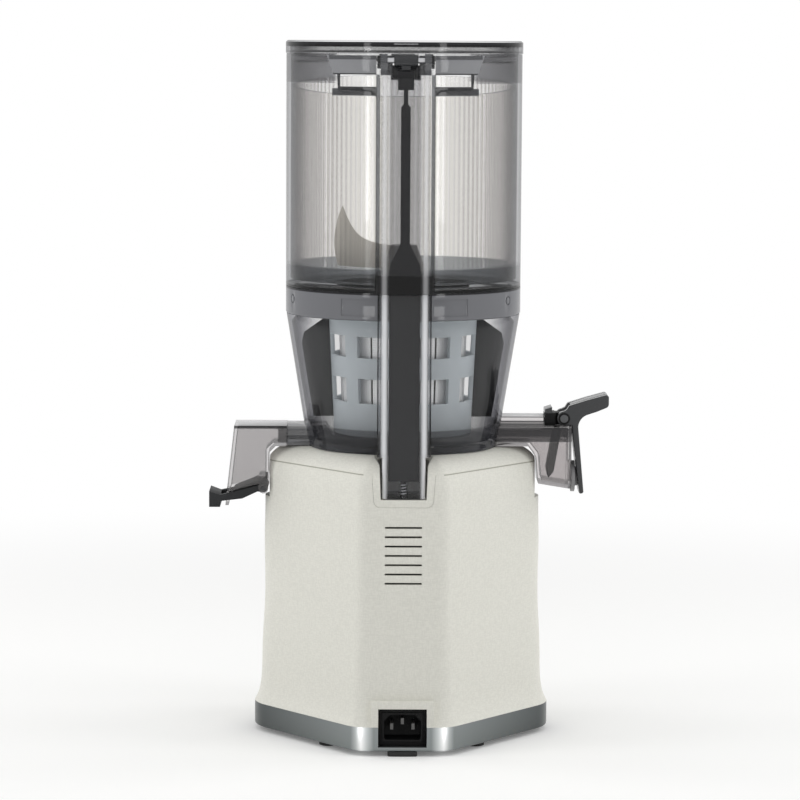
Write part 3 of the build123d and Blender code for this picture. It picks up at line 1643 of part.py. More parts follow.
gate_half = chute_half - chute_wall - slide_gap
gate_slot_near = tip_x - 3.6
gate_slot_far = tip_x + 3.2
gate_tab = tip_x + 10.8
gate_tab_low = tip_low - 0.6
with BuildPart() as pulp_gate:
    with BuildSketch(Plane.XZ):
        with BuildLine():
            Polyline(
                (gate_pivot_x, gate_pivot_z + gate_hub - 0.1),
                (tip_x - 3, recess_bottom + 2.5),
                (tip_x + 3.8, recess_bottom + 1.1),
                (gate_tab, recess_bottom + 3.7),
                (gate_tab, gate_tab_low),
                (gate_tab - 7.4, gate_tab_low),
                (gate_tab - 7.4, gate_tab_low + 4),
                (gate_pivot_x + 14.2, gate_pivot_z - 7.2),
                (gate_pivot_x + 4, gate_pivot_z - gate_hub + 0.6),
                (gate_pivot_x, gate_pivot_z - gate_hub + 0.1),
                close=True,
            )
        make_face()
        with Locations((gate_pivot_x, gate_pivot_z)):
            Circle(gate_hub)
    extrude(amount=gate_half, both=True)
    with BuildSketch(Plane.XY.offset(gate_tab_low - 1)):
        with Locations(((gate_slot_near + gate_slot_far) / 2, 0)):
            Rectangle(gate_slot_far - gate_slot_near, 2 * tip_half + 2 * slide_gap)
    extrude(amount=gate_pivot_z - gate_tab_low, mode=Mode.SUBTRACT)
    with BuildSketch(Plane.XZ):
        with Locations((gate_pivot_x, gate_pivot_z)):
            Circle(gate_pin_radius + shaft_gap)
    extrude(amount=chute_half, both=True, mode=Mode.SUBTRACT)
save(pulp_gate.part, "pulp_gate")

# ---------------------------------------------------------------- hopper
skirt_low = flange_top + 1.4
floor_low = hopper_floor - 3.6
neck_radius = mesh_high_radius + 0.9
skirt_outer = rim_inner - slide_gap

with BuildPart() as hopper_shell:
    with BuildSketch(Plane.XZ):
        with BuildLine():
            Polyline(
                (hopper_radius, hopper_base),
                (hopper_radius, hopper_top),
                (hopper_inner, hopper_top),
                (hopper_inner, hopper_floor),
                (neck_radius + 5, hopper_floor - 1),
                (neck_radius, hopper_floor - 1.6),
                (neck_radius, skirt_low),
                (neck_radius + clear_wall, skirt_low),
                (neck_radius + clear_wall, floor_low),
                (skirt_outer - clear_wall, floor_low),
                (skirt_outer - clear_wall, skirt_low),
                (skirt_outer, skirt_low),
                (skirt_outer, hopper_base),
                close=True,
            )
        make_face()
    revolve(axis=Axis.Z)
save(hopper_shell.part, "hopper_shell")

liner_outer = hopper_inner - slide_gap
liner_inner = liner_outer - liner_wall
liner_rear = hopper_top - liner_rear_drop
liner_front = hopper_top - liner_front_drop
flute_step = 2 * pi / flute_count
with BuildPart() as hopper_liner:
    with BuildSketch(Plane.XY.offset(hopper_floor)):
        Circle(liner_outer)
        with BuildLine():
            Polyline(
                *[
                    (radius * cos((turn + shift) * flute_step), radius * sin((turn + shift) * flute_step))
                    for turn in range(flute_count)
                    for radius, shift in ((liner_inner, 0), (liner_inner + flute_depth, 0.5))
                ],
                close=True,
            )
        make_face(mode=Mode.SUBTRACT)
    extrude(amount=liner_front - hopper_floor)
    rise = Plane(
        origin=(0, 0, (liner_rear + liner_front) / 2),
        x_dir=(1, 0, 0),
        z_dir=(0, liner_front - liner_rear, 2 * liner_inner),
    )
    split(bisect_by=rise, keep=Keep.BOTTOM)
save(hopper_liner.part, "hopper_liner")

barrel_radius = 4.2
barrel_near = 12.0
barrel_far = 17.3
knuckle_half = 7.8
panel_half = 52.0
panel_bottom = hopper_top - 13.2
panel_top = hopper_top - 0.8
bar_bottom = hopper_top - 27.5
bar_top = hopper_top - 21.6
panel_wall = 3.2
hopper_column_half = hopper_column_width / 2
rod_relief = rod_y + rod_thickness / 2 + 1.2

with BuildPart() as hopper_column:
    with BuildSketch(Plane.XZ):
        with BuildLine():
            Polyline(
                (panel_half - 0.5, panel_top),
                (panel_half - 5.2, panel_bottom),
                (panel_half - 7.4, panel_bottom),
                (panel_half - 8, bar_top - 1),
                (hopper_column_half + 4, bar_top - 2),
                (hopper_column_half, bar_bottom),
                (hopper_column_half, hopper_base),
                (-hopper_column_half, hopper_base),
                (-hopper_column_half, bar_bottom),
                (-hopper_column_half - 4, bar_top - 2),
                (-panel_half + 8, bar_top - 1),
                (-panel_half + 7.4, panel_bottom),
                (-panel_half + 5.2, panel_bottom),
                (-panel_half + 0.5, panel_top),
                close=True,
            )
        make_face()
        for side in (-1, 1):
            with Locations((side * (hopper_column_half + panel_half - 9.5) / 2, (bar_top + 0.6 + panel_bottom) / 2)):
                Rectangle(panel_half - 9.5 - hopper_column_half, panel_bottom - bar_top - 0.6, mode=Mode.SUBTRACT)
    extrude(amount=-hopper_column_rear)
    with BuildSketch(Plane.XY.offset(hopper_base)):
        Circle(hopper_radius + panel_wall)
        Circle(hopper_radius, mode=Mode.SUBTRACT)
    extrude(amount=hopper_top - hopper_base, mode=Mode.INTERSECT)
    with BuildSketch(Plane.XY.offset(hopper_base)):
        with Locations((0, hopper_column_rear - 10)):
            RectangleRounded(hopper_column_width, 20, column_corner)
    extrude(amount=panel_bottom - hopper_base)
    with BuildSketch(Plane.XY.offset(hopper_base)):
        with Locations((0, hopper_column_rear - column_wall - 10)):
            RectangleRounded(hopper_column_width - 2 * column_wall, 20, column_corner - column_wall)
    extrude(amount=panel_bottom - column_wall - hopper_base, mode=Mode.SUBTRACT)
    with BuildSketch(Plane.XY.offset(hopper_base)):
        Circle(rod_relief)
    extrude(amount=rod_rise + 2 * slide_gap, mode=Mode.SUBTRACT)
    for side in (-1, 1):
        with BuildSketch(Plane.YZ.offset(side * (barrel_near + barrel_far) / 2)):
            with Locations((hinge_y, hinge_z)):
                Circle(barrel_radius)
            with Locations((hinge_y, (hinge_z + panel_bottom - 2) / 2)):
                Rectangle(2 * barrel_radius, hinge_z - panel_bottom + 2)
            with Locations((hinge_y - 4, hinge_z - 2)):
                Rectangle(8, 8)
        extrude(amount=(barrel_far - barrel_near) / 2, both=True)
    with BuildSketch(Plane.XY.offset(panel_bottom - column_wall)):
        with Locations((0, hinge_y)):
            Rectangle(2 * knuckle_half + 1.6, 24)
    extrude(amount=30, mode=Mode.SUBTRACT)
    with BuildSketch(Plane.YZ):
        with Locations((hinge_y, hinge_z)):
            Circle(hinge_pin_radius)
    extrude(amount=barrel_far, both=True, mode=Mode.SUBTRACT)
    with BuildSketch(Plane.XY.offset(hopper_base)):
        Circle(hopper_radius)
    extrude(amount=lid_top - hopper_base, mode=Mode.SUBTRACT)
save(hopper_column.part, "hopper_column")

head_width = 10.4
head_height = 12.0
strip_width = 6.2
stem_half = 1.4
upper_rod_y = hinge_y
upper_rod_thickness = 3.0
nib_radius = 6.2
head_top = hinge_z - nib_radius - 0.75
head_low = head_top - head_height
foot_top = hopper_base + 18.8
strip_low = foot_top + 14
strip_top = head_low - 11
with BuildPart() as upper_interlock_rod:
    with BuildSketch(Plane.XZ.offset(-upper_rod_y)):
        with BuildLine():
            Polyline(
                (-rod_bar / 2, hopper_base + 0.2),
                (rod_bar / 2, hopper_base + 0.2),
                (rod_bar / 2, foot_top),
                (strip_width / 2, strip_low),
                (strip_width / 2, strip_top),
                (stem_half, strip_top + 2),
                (stem_half, head_low),
                (head_width / 2, head_low),
                (head_width / 2, head_top),
                (-head_width / 2, head_top),
                (-head_width / 2, head_low),
                (-stem_half, head_low),
                (-stem_half, strip_top + 2),
                (-strip_width / 2, strip_top),
                (-strip_width / 2, strip_low),
                (-rod_bar / 2, foot_top),
                close=True,
            )
        make_face()
    extrude(amount=upper_rod_thickness / 2, both=True)
    with BuildSketch(Plane.XY.offset(hopper_base + 0.2)):
        with Locations((0, upper_rod_y - 2.2)):
            Rectangle(rod_bar, 4.4)
    extrude(amount=6)
save(upper_interlock_rod.part, "upper_interlock_rod")

with BuildPart() as lid_hinge_pin:
    with BuildSketch(Plane.YZ):
        with Locations((hinge_y, hinge_z)):
            Circle(hinge_pin_radius)
    extrude(amount=barrel_far, both=True)
save(lid_hinge_pin.part, "lid_hinge_pin")

# ---------------------------------------------------------------- lid
lid_plate = 2.6
lid_radius = hopper_radius + 0.4
lid_skirt = 2.8
lid_swing_gap = 0.9
lid_seal_wall = 1.4
seal_outer_radius = hopper_inner - lid_swing_gap
plug_outer = seal_outer_radius - lid_seal_wall
plug_low = hopper_top - 6
knuckle_radius = 3.6
with BuildPart() as lid:
    with BuildSketch(Plane.XZ):
        with BuildLine():
            Polyline(
                (0, lid_top),
                (lid_radius - 1.2, lid_top),
                (lid_radius, lid_top - 1.2),
                (lid_radius, lid_base),
                (lid_radius - lid_skirt, lid_base),
                (lid_radius - lid_skirt, lid_top - lid_plate),
                (plug_outer, lid_top - lid_plate),
                (plug_outer, plug_low),
                (plug_outer - clear_wall, plug_low),
                (plug_outer - clear_wall, lid_top - lid_plate),
                (0, lid_top - lid_plate),
                close=True,
            )
        make_face()
    revolve(axis=Axis.Z)
    with BuildSketch(Plane.YZ):
        with BuildLine():
            Polyline(
                (lid_radius - 1, lid_base + 1),
                (lid_radius - 1, lid_top - 1.6),
                (hinge_y, lid_top - 2.6),
                (hinge_y + knuckle_radius, hinge_z),
                (hinge_y - knuckle_radius, hinge_z),
                (hinge_y - knuckle_radius + 0.2, lid_base + 1),
                close=True,
            )
        make_face()
        with Locations((hinge_y, hinge_z)):
            Circle(knuckle_radius)
    extrude(amount=knuckle_half, both=True)
    with BuildSketch(Plane.YZ):
        with Locations((hinge_y, hinge_z)):
            Circle(nib_radius)
        with Locations((hinge_y, hinge_z - 10.1)):
            Rectangle(3, 20.2, mode=Mode.INTERSECT)
    extrude(amount=3, both=True)
    with BuildSketch(Plane.YZ):
        with Locations((hinge_y, hinge_z)):
            Circle(hinge_pin_radius + shaft_gap)
    extrude(amount=knuckle_half, both=True, mode=Mode.SUBTRACT)
save(lid.part, "lid")

with BuildPart() as lid_seal:
    with BuildSketch(Plane.XY.offset(plug_low + 1.6)):
        Circle(seal_outer_radius)
        Circle(plug_outer, mode=Mode.SUBTRACT)
    extrude(amount=2.4)
save(lid_seal.part, "lid_seal")
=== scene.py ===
"""Looks of the cold press juicer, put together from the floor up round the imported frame.

Everything is in metres: +Z up, the rear with the power inlet towards +Y, the juice spout on -X.
"""

import json
import math

import bpy
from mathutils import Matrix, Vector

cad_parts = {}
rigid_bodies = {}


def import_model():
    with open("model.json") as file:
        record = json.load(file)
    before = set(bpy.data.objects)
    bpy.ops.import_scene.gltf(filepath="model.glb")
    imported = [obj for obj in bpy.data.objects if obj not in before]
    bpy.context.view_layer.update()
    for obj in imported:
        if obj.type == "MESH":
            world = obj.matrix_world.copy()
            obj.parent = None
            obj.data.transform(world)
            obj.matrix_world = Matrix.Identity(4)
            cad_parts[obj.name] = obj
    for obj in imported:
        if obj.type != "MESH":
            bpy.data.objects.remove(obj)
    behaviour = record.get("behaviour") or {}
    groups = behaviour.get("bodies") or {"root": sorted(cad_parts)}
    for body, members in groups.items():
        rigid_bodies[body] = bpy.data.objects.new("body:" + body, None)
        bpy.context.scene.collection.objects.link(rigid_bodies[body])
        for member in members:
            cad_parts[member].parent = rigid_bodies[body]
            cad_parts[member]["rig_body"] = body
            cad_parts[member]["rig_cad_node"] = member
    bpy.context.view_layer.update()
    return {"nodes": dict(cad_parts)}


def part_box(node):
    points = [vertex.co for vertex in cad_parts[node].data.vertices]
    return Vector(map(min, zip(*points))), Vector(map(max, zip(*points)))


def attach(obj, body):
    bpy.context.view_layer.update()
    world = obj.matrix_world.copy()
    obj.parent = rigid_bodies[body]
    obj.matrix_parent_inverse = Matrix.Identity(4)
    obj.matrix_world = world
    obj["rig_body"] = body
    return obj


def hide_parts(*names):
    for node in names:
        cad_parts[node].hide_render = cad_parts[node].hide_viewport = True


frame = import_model()


# ------------------------------------------------------------------ studio
# A white sweep with a pale floor, lit by soft boxes on every side and by the white room itself.
# The camera stands 2.2 m behind the machine, level with its lid, and looks a little down.
def linear(code):
    """Linear colour of an sRGB hex value."""
    parts = [int(code[place : place + 2], 16) / 255 for place in (1, 3, 5)]
    return [p / 12.92 if p <= 0.04045 else ((p + 0.055) / 1.055) ** 2.4 for p in parts] + [1.0]


def add_node(tree, kind, values=None, links=None, **settings):
    """Adds one shader node, sets its options and sockets, and links the sockets named in links."""
    made = tree.nodes.new(kind)
    for option, value in settings.items():
        setattr(made, option, value)
    for socket, value in (values or {}).items():
        made.inputs[socket].default_value = value
    for socket, source in (links or {}).items():
        tree.links.new(source, made.inputs[socket])
    return made


def total(tree, *sources, **settings):
    """The sum of several values, or with operation="MULTIPLY" their product."""
    settings.setdefault("operation", "ADD")
    whole = sources[0]
    for source in sources[1:]:
        whole = add_node(tree, "ShaderNodeMath", links={0: whole, 1: source}, **settings).outputs[0]
    return whole


def seen_straight(tree):
    """1 for rays that carry the view: from the camera, off a polished face or through a clear wall."""
    rays = add_node(tree, "ShaderNodeLightPath").outputs
    kinds = ("Is Camera Ray", "Is Glossy Ray", "Is Transmission Ray")
    return total(tree, *(rays[kind] for kind in kinds), use_clamp=True)


def new_material(name):
    """An empty material and its node tree."""
    material = bpy.data.materials.new(name)
    material.use_nodes = True
    material.node_tree.nodes.clear()
    return material, material.node_tree


def deselect():
    """Leaves nothing selected and nothing active."""
    if bpy.context.mode != "OBJECT":
        bpy.ops.object.mode_set(mode="OBJECT")
    bpy.ops.object.select_all(action="DESELECT")
    bpy.context.view_layer.objects.active = None


room_light = 0.56
white = linear("#ffffff")

world = bpy.data.worlds.new("white_room")
bpy.context.scene.world = world
world.use_nodes = True
room = world.node_tree
room.nodes.clear()
lit = add_node(room, "ShaderNodeBackground", {"Color": white, "Strength": room_light})
shown = add_node(room, "ShaderNodeBackground", {"Color": white, "Strength": 1.0})
both = add_node(
    room, "ShaderNodeMixShader", links={0: seen_straight(room), 1: lit.outputs[0], 2: shown.outputs[0]}
)
add_node(room, "ShaderNodeOutputWorld", links={"Surface": both.outputs[0]})

floor_size = 12.0
floor_near = 0.45
floor_far = 1.1
floor_lift = 0.12

deselect()
bpy.ops.mesh.primitive_plane_add(size=floor_size, location=(0, 0, 0))
floor = bpy.context.object
floor.name = "floor"
paper, tree = new_material("matt_white_paper")
place = add_node(tree, "ShaderNodeTexCoord")
reach = add_node(tree, "ShaderNodeVectorMath", operation="LENGTH", links={0: place.outputs["Object"]})
fade = add_node(
    tree, "ShaderNodeMapRange", interpolation_type="SMOOTHSTEP",
    values={"From Min": floor_near, "From Max": floor_far}, links={"Value": reach.outputs["Value"]},
)
matt = add_node(tree, "ShaderNodeBsdfDiffuse", {"Color": linear("#f4f4f3")})
lift = add_node(
    tree, "ShaderNodeMath", operation="MULTIPLY", values={1: floor_lift}, links={0: seen_straight(tree)}
)
glow = add_node(tree, "ShaderNodeEmission", {"Color": white}, {"Strength": lift.outputs[0]})
near = add_node(tree, "ShaderNodeAddShader", links={0: matt.outputs[0], 1: glow.outputs[0]})
far = add_node(tree, "ShaderNodeEmission", {"Color": white, "Strength": 1.0})
whole = add_node(
    tree, "ShaderNodeMixShader", links={0: fade.outputs[0], 1: near.outputs[0], 2: far.outputs[0]}
)
add_node(tree, "ShaderNodeOutputMaterial", links={"Surface": whole.outputs[0]})
floor.data.materials.append(paper)

# Four tall soft boxes stand round the machine. Two narrow strips stand behind the camera, off to its
# sides, and show only as the bright upright lines on polished corners.
def stand_box(name, turn, distance, height, wide, tall, power, lean):
    """A rectangular lamp that faces the machine from an azimuth in degrees, leaning down from upright."""
    angle = math.radians(turn)
    lamp = bpy.data.lights.new(name, "AREA")
    lamp.shape = "RECTANGLE"
    lamp.size = wide
    lamp.size_y = tall
    lamp.energy = power
    holder = bpy.data.objects.new(name, lamp)
    bpy.context.scene.collection.objects.link(holder)
    holder.location = (distance * math.cos(angle), distance * math.sin(angle), height)
    holder.rotation_euler = (math.radians(90 - lean), 0, angle + math.pi / 2)
    return holder


box_tall = 1.3
for turn in (18, 162, 198, 342):
    box = stand_box(
        f"soft_box_{turn}", turn, distance=1.35, height=0.75, wide=0.5, tall=box_tall, power=3.7, lean=18
    )
    box.visible_glossy = False
for turn in (54, 126):
    strip = stand_box(
        f"strip_box_{turn}", turn, distance=1.7, height=0.5, wide=0.2, tall=box_tall, power=4.0, lean=5
    )
    strip.visible_diffuse = False

top_size = 1.0
top_power = 5.0
top_height = 1.7
top = bpy.data.lights.new("top_box", "AREA")
top.shape = "SQUARE"
top.size = top_size
top.energy = top_power
holder = bpy.data.objects.new("top_box", top)
bpy.context.scene.collection.objects.link(holder)
holder.location = (0, 0.1, top_height)
holder.visible_glossy = False

camera_distance = 2.221
camera_height = 0.4675
camera_aside = 0.0017
camera_turn = math.radians(0.7)
camera_pitch = math.radians(6.233)
camera_roll = math.radians(0.33)
camera_lens = 148.56
sensor_width = 36.0
camera = bpy.data.cameras.new("camera")
camera.lens = camera_lens
camera.sensor_width = sensor_width
camera.clip_end = 50.0
stand = bpy.data.objects.new("camera", camera)
bpy.context.scene.collection.objects.link(stand)
stand.location = (
    camera_distance * math.sin(camera_turn) + camera_aside,
    camera_distance * math.cos(camera_turn),
    camera_height,
)
stand.rotation_euler = (math.radians(90) - camera_pitch, 0, math.pi - camera_turn)
stand.rotation_euler.rotate_axis("Z", camera_roll)
bpy.context.scene.camera = stand
bpy.context.scene.view_settings.view_transform = "Standard"
wall_limit = 40
bpy.context.scene.cycles.transparent_max_bounces = wall_limit


# ------------------------------------------------------------------ skins
# Every visible moulding is a smooth skin: the frame's solid with its facets joined and its sharp
# edges broken by a small round, as a mould leaves them.
weld = 0.00001
flat_angle = math.radians(0.5)


def skin(node, body, material, smooth=32, edge=0.0003):
    """A merged and smoothed copy of a CAD node, with its sharp edges rounded, standing for it."""
    deselect()
    piece = frame["nodes"][node].copy()
    piece.data = piece.data.copy()
    piece.name = node + "_skin"
    piece.parent = None
    bpy.context.scene.collection.objects.link(piece)
    bpy.context.view_layer.objects.active = piece
    piece.select_set(True)
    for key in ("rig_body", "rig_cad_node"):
        if key in piece:
            del piece[key]
    bpy.ops.object.mode_set(mode="EDIT")
    bpy.ops.mesh.select_all(action="SELECT")
    bpy.ops.mesh.remove_doubles(threshold=weld)
    bpy.ops.mesh.customdata_custom_splitnormals_clear()
    if edge:
        bpy.ops.mesh.dissolve_limited(angle_limit=flat_angle)
    bpy.ops.object.mode_set(mode="OBJECT")
    if edge:
        rounding = piece.modifiers.new("edge", "BEVEL")
        rounding.width = edge
        rounding.segments = 2
        rounding.limit_method = "ANGLE"
        rounding.angle_limit = math.radians(smooth)
        rounding.use_clamp_overlap = True
        bpy.ops.object.modifier_apply(modifier="edge")
    bpy.ops.object.shade_smooth_by_angle(angle=math.radians(smooth))
    piece.data.materials.clear()
    piece.data.materials.append(material)
    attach(piece, body)
    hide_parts(node)
    return piece


# ------------------------------------------------------------------ housing
# Off-white ABS, injection moulded in a mould etched with a fine linen grain, which breaks up the
# light and shows as faint pale and grey threads. The cover is moulded in the same grain.
def band(tree, source, low, high, soft=0.0004):
    """1 where source is between low and high, with soft sides."""
    rise = add_node(
        tree, "ShaderNodeMapRange", {"From Min": low - soft, "From Max": low + soft}, {"Value": source},
        interpolation_type="SMOOTHSTEP",
    )
    fall = add_node(
        tree, "ShaderNodeMapRange", {"From Min": high + soft, "From Max": high - soft}, {"Value": source},
        interpolation_type="SMOOTHSTEP",
    )
    return total(tree, rise.outputs[0], fall.outputs[0], operation="MULTIPLY")


def ramp(tree, source, *stops):
    """A colour that follows source through stops of a place and an sRGB hex value."""
    made = add_node(tree, "ShaderNodeValToRGB", links={"Fac": source})
    elements = made.color_ramp.elements
    while len(elements) < len(stops):
        elements.new(0.5)
    for element, (place, shade) in zip(list(elements), stops):
        element.position = place
        element.color = linear(shade)
    return made.outputs["Color"]


def dim(tree, colour, shade, mask):
    """Multiplies colour by a shade where mask is 1."""
    made = add_node(
        tree, "ShaderNodeMix", values={7: linear(shade)}, links={0: mask, 6: colour}, data_type="RGBA",
        blend_type="MULTIPLY",
    )
    return made.outputs[2]


thread = 0.0008
slack = 0.25
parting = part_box("motor_housing")[1].z
seam_half = 0.00035
tongue_half = 0.0263
beyond = 0.2

abs_grain, tree = new_material("grained_abs")
place = add_node(tree, "ShaderNodeTexCoord")
axes = add_node(tree, "ShaderNodeSeparateXYZ", links={0: place.outputs["Object"]})
aside = add_node(tree, "ShaderNodeMath", operation="ABSOLUTE", links={0: axes.outputs["X"]})
seam = band(tree, axes.outputs["Z"], parting - seam_half, parting + seam_half, soft=0.0002)
beside = band(tree, aside.outputs[0], tongue_half, beyond)
joint = total(tree, seam, beside, operation="MULTIPLY")
threads = []
for scale in ((1 / thread, 1 / thread, slack / thread), (slack / thread, slack / thread, 1 / thread)):
    laid = add_node(tree, "ShaderNodeMapping", {"Scale": scale}, {"Vector": place.outputs["Object"]})
    noise = add_node(tree, "ShaderNodeTexNoise", {"Scale": 1.0, "Detail": 1.0}, {"Vector": laid.outputs[0]})
    threads.append(noise.outputs["Fac"])
cloth = total(tree, *threads, operation="MULTIPLY")
tone = ramp(tree, cloth, (0.14, "#dad9d0"), (0.36, "#e2e1d8"))
relief = add_node(tree, "ShaderNodeBump", {"Strength": 0.35, "Distance": 0.0001}, {"Height": cloth})
plastic = add_node(
    tree, "ShaderNodeBsdfPrincipled", {"Roughness": 0.5, "IOR": 1.53},
    {"Base Color": dim(tree, tone, "#b4b3ab", joint), "Normal": relief.outputs["Normal"]},
)
add_node(tree, "ShaderNodeOutputMaterial", links={"Surface": plastic.outputs[0]})

skin("motor_housing", "base", abs_grain, smooth=35, edge=0.0002)
skin("housing_cover", "base", abs_grain, smooth=35, edge=0.0002)

# ------------------------------------------------------------------ band
# The pan's side is a satin grey band, die cast and painted with a fine metallic lacquer. A painted
# highlight brightens the corners beside the inlet, and painted shade darkens it towards the sides.
sheen_reach = 0.1

lacquer, tree = new_material("metallic_lacquer")
place = add_node(tree, "ShaderNodeTexCoord")
axes = add_node(tree, "ShaderNodeSeparateXYZ", links={0: place.outputs["Object"]})
aside = add_node(tree, "ShaderNodeMath", operation="ABSOLUTE", links={0: axes.outputs["X"]})
reach = add_node(
    tree, "ShaderNodeMath", operation="MULTIPLY", values={1: 1 / sheen_reach}, links={0: aside.outputs[0]}
)
# Painted highlight on the corners beside the inlet, painted shade darkening towards the sides.
tone = ramp(
    tree, reach.outputs[0], (0.19, "#858a8a"), (0.235, "#c4c8c8"), (0.272, "#f4f5f5"), (0.305, "#b4b8b8"),
    (0.34, "#848989"), (0.95, "#545858"),
)
flake = add_node(
    tree, "ShaderNodeTexNoise", {"Scale": 2500.0, "Detail": 2.0}, {"Vector": place.outputs["Object"]}
)
relief = add_node(
    tree, "ShaderNodeBump", {"Strength": 0.2, "Distance": 0.00005}, {"Height": flake.outputs["Fac"]}
)
metal = add_node(
    tree, "ShaderNodeBsdfPrincipled", {"Metallic": 0.9, "Roughness": 0.3},
    {"Base Color": tone, "Normal": relief.outputs["Normal"]},
)
add_node(tree, "ShaderNodeOutputMaterial", links={"Surface": metal.outputs[0]})

skin("base_pan", "base", lacquer, smooth=35, edge=0.0002)
skin("knob_bezel", "base", lacquer)
skin("selector_knob", "selector", lacquer)


# ------------------------------------------------------------------ black and grey mouldings
# Nylon, ABS, acetal and silicone parts, each moulded in one colour. The moulds are spark eroded, and
# their fine texture dulls the gloss and breaks the colour into two close tones.
def moulding(name, dark, pale, roughness, grit=0.0006, depth=0.00004, ior=1.5):
    """An opaque moulded plastic or rubber: two close tones and a fine texture."""
    material, tree = new_material(name)
    place = add_node(tree, "ShaderNodeTexCoord")
    spots = add_node(
        tree, "ShaderNodeTexNoise", {"Scale": 1 / grit, "Detail": 3.0}, {"Vector": place.outputs["Object"]}
    )
    tone = ramp(tree, spots.outputs["Fac"], (0.3, dark), (0.7, pale))
    relief = add_node(
        tree, "ShaderNodeBump", {"Strength": 0.4, "Distance": depth}, {"Height": spots.outputs["Fac"]}
    )
    body = add_node(
        tree, "ShaderNodeBsdfPrincipled", {"Roughness": roughness, "IOR": ior},
        {"Base Color": tone, "Normal": relief.outputs["Normal"]},
    )
    add_node(tree, "ShaderNodeOutputMaterial", links={"Surface": body.outputs[0]})
    return material


faint = 0.00001
faintest = 0.000005

black_abs = moulding("black_nylon", "#0b0b0b", "#121213", 0.5, ior=1.25)
black_rubber = moulding("black_silicone_rubber", "#1a1b1d", "#202224", 0.6, depth=faintest, ior=1.4)
foot_rubber = moulding("black_rubber", "#161616", "#202020", 0.75)
cage_plastic = moulding("grey_blue_abs", "#bcc4ca", "#c6ced3", 0.42, depth=faint)
auger_plastic = moulding("grey_pei", "#5a5958", "#646362", 0.4)
wing_plastic = moulding("beige_grey_pei", "#cbc7bf", "#d6d2ca", 0.42, depth=faint)
pale_plastic = moulding("pale_grey_abs", "#d2d6d9", "#dbdfe1", 0.42, depth=faint)
lever_plastic = moulding("dark_grey_abs", "#2d2e30", "#343537", 0.2, depth=faint)
grey_abs = moulding("grey_abs", "#4c4d4f", "#545557", 0.3, depth=faint)
rod_plastic = moulding("smoked_acetal", "#1c1c1e", "#232325", 0.45, depth=faintest, ior=1.3)
nylon = moulding("natural_nylon", "#dcd8ca", "#e6e2d6", 0.45)
grey_silicone = moulding("grey_silicone_rubber", "#8a8a8b", "#979798", 0.5, depth=faint)
pale_silicone = moulding("pale_silicone_rubber", "#c9c9ca", "#d3d3d4", 0.5, depth=faint)
laminate = moulding("green_laminate", "#1f5a31", "#2a6a3c", 0.5)
casting = moulding("cast_aluminium", "#9a9b9d", "#a6a7a9", 0.5)
ferrite = moulding("ferrite", "#3a3a3c", "#444446", 0.6)

# ------------------------------------------------------------------ steel
# Shafts, pins, springs and screws are turned or drawn from stainless steel. The lathe leaves fine
# lines round the axis, which draw the highlights out into soft bands.
steel, tree = new_material("turned_stainless_steel")
place = add_node(tree, "ShaderNodeTexCoord")
lines = add_node(
    tree, "ShaderNodeTexWave", {"Scale": 900.0, "Distortion": 2.0, "Detail": 1.0},
    {"Vector": place.outputs["Object"]}, bands_direction="Z",
)
relief = add_node(
    tree, "ShaderNodeBump", {"Strength": 0.1, "Distance": 0.00003}, {"Height": lines.outputs["Fac"]}
)
metal = add_node(
    tree, "ShaderNodeBsdfPrincipled", {"Base Color": linear("#bcbdbf"), "Metallic": 1.0, "Roughness": 0.3},
    {"Normal": relief.outputs["Normal"]},
)
add_node(tree, "ShaderNodeOutputMaterial", links={"Surface": metal.outputs[0]})


# ------------------------------------------------------------------ strainer sheet
# The strainer's cone is drawn from thin stainless sheet and etched through with fine holes. They are
# 0.3 mm wide on the real one and are drawn at a pitch of 1.6 mm here, so that they show.
hole_pitch = 0.0016
cone_radius = 0.0425

perforated, tree = new_material("etched_stainless_sheet")
place = add_node(tree, "ShaderNodeTexCoord")
axes = add_node(tree, "ShaderNodeSeparateXYZ", links={0: place.outputs["Object"]})
turn = add_node(
    tree, "ShaderNodeMath", operation="ARCTAN2", links={0: axes.outputs["Y"], 1: axes.outputs["X"]}
)
column = add_node(
    tree, "ShaderNodeMath", operation="MULTIPLY", values={1: cone_radius / hole_pitch},
    links={0: turn.outputs[0]},
)
row = add_node(
    tree, "ShaderNodeMath", operation="MULTIPLY", values={1: 1 / hole_pitch}, links={0: axes.outputs["Z"]}
)
across = add_node(tree, "ShaderNodeMath", operation="PINGPONG", values={1: 0.5}, links={0: column.outputs[0]})
along = add_node(tree, "ShaderNodeMath", operation="PINGPONG", values={1: 0.5}, links={0: row.outputs[0]})
spot = add_node(tree, "ShaderNodeCombineXYZ", links={0: across.outputs[0], 1: along.outputs[0]})
reach = add_node(tree, "ShaderNodeVectorMath", operation="LENGTH", links={0: spot.outputs[0]})
tone = ramp(tree, reach.outputs["Value"], (0.16, "#d8dadc"), (0.26, "#fcfcfd"))
sheet = add_node(
    tree, "ShaderNodeBsdfPrincipled", {"Metallic": 0.25, "Roughness": 0.4}, {"Base Color": tone}
)
add_node(tree, "ShaderNodeOutputMaterial", links={"Surface": sheet.outputs[0]})


# ------------------------------------------------------------------ clear mouldings
# Smoke-tinted copolyester, polished in the mould. Light goes straight through a wall and dims a
# little, and dims much more where the wall is seen edge on and the way through it is long. Thick
# ribs and blocks scatter some light, which gives them a milky grey of their own. Pale haze bands
# on the columns' corners and on the spout's and chute's top faces are painted highlights.
plain_turns = (0.35, 0.72, 0.96)
wall_gloss = 0.06
facing_mirror = 0.02
edge_mirror = 0.6


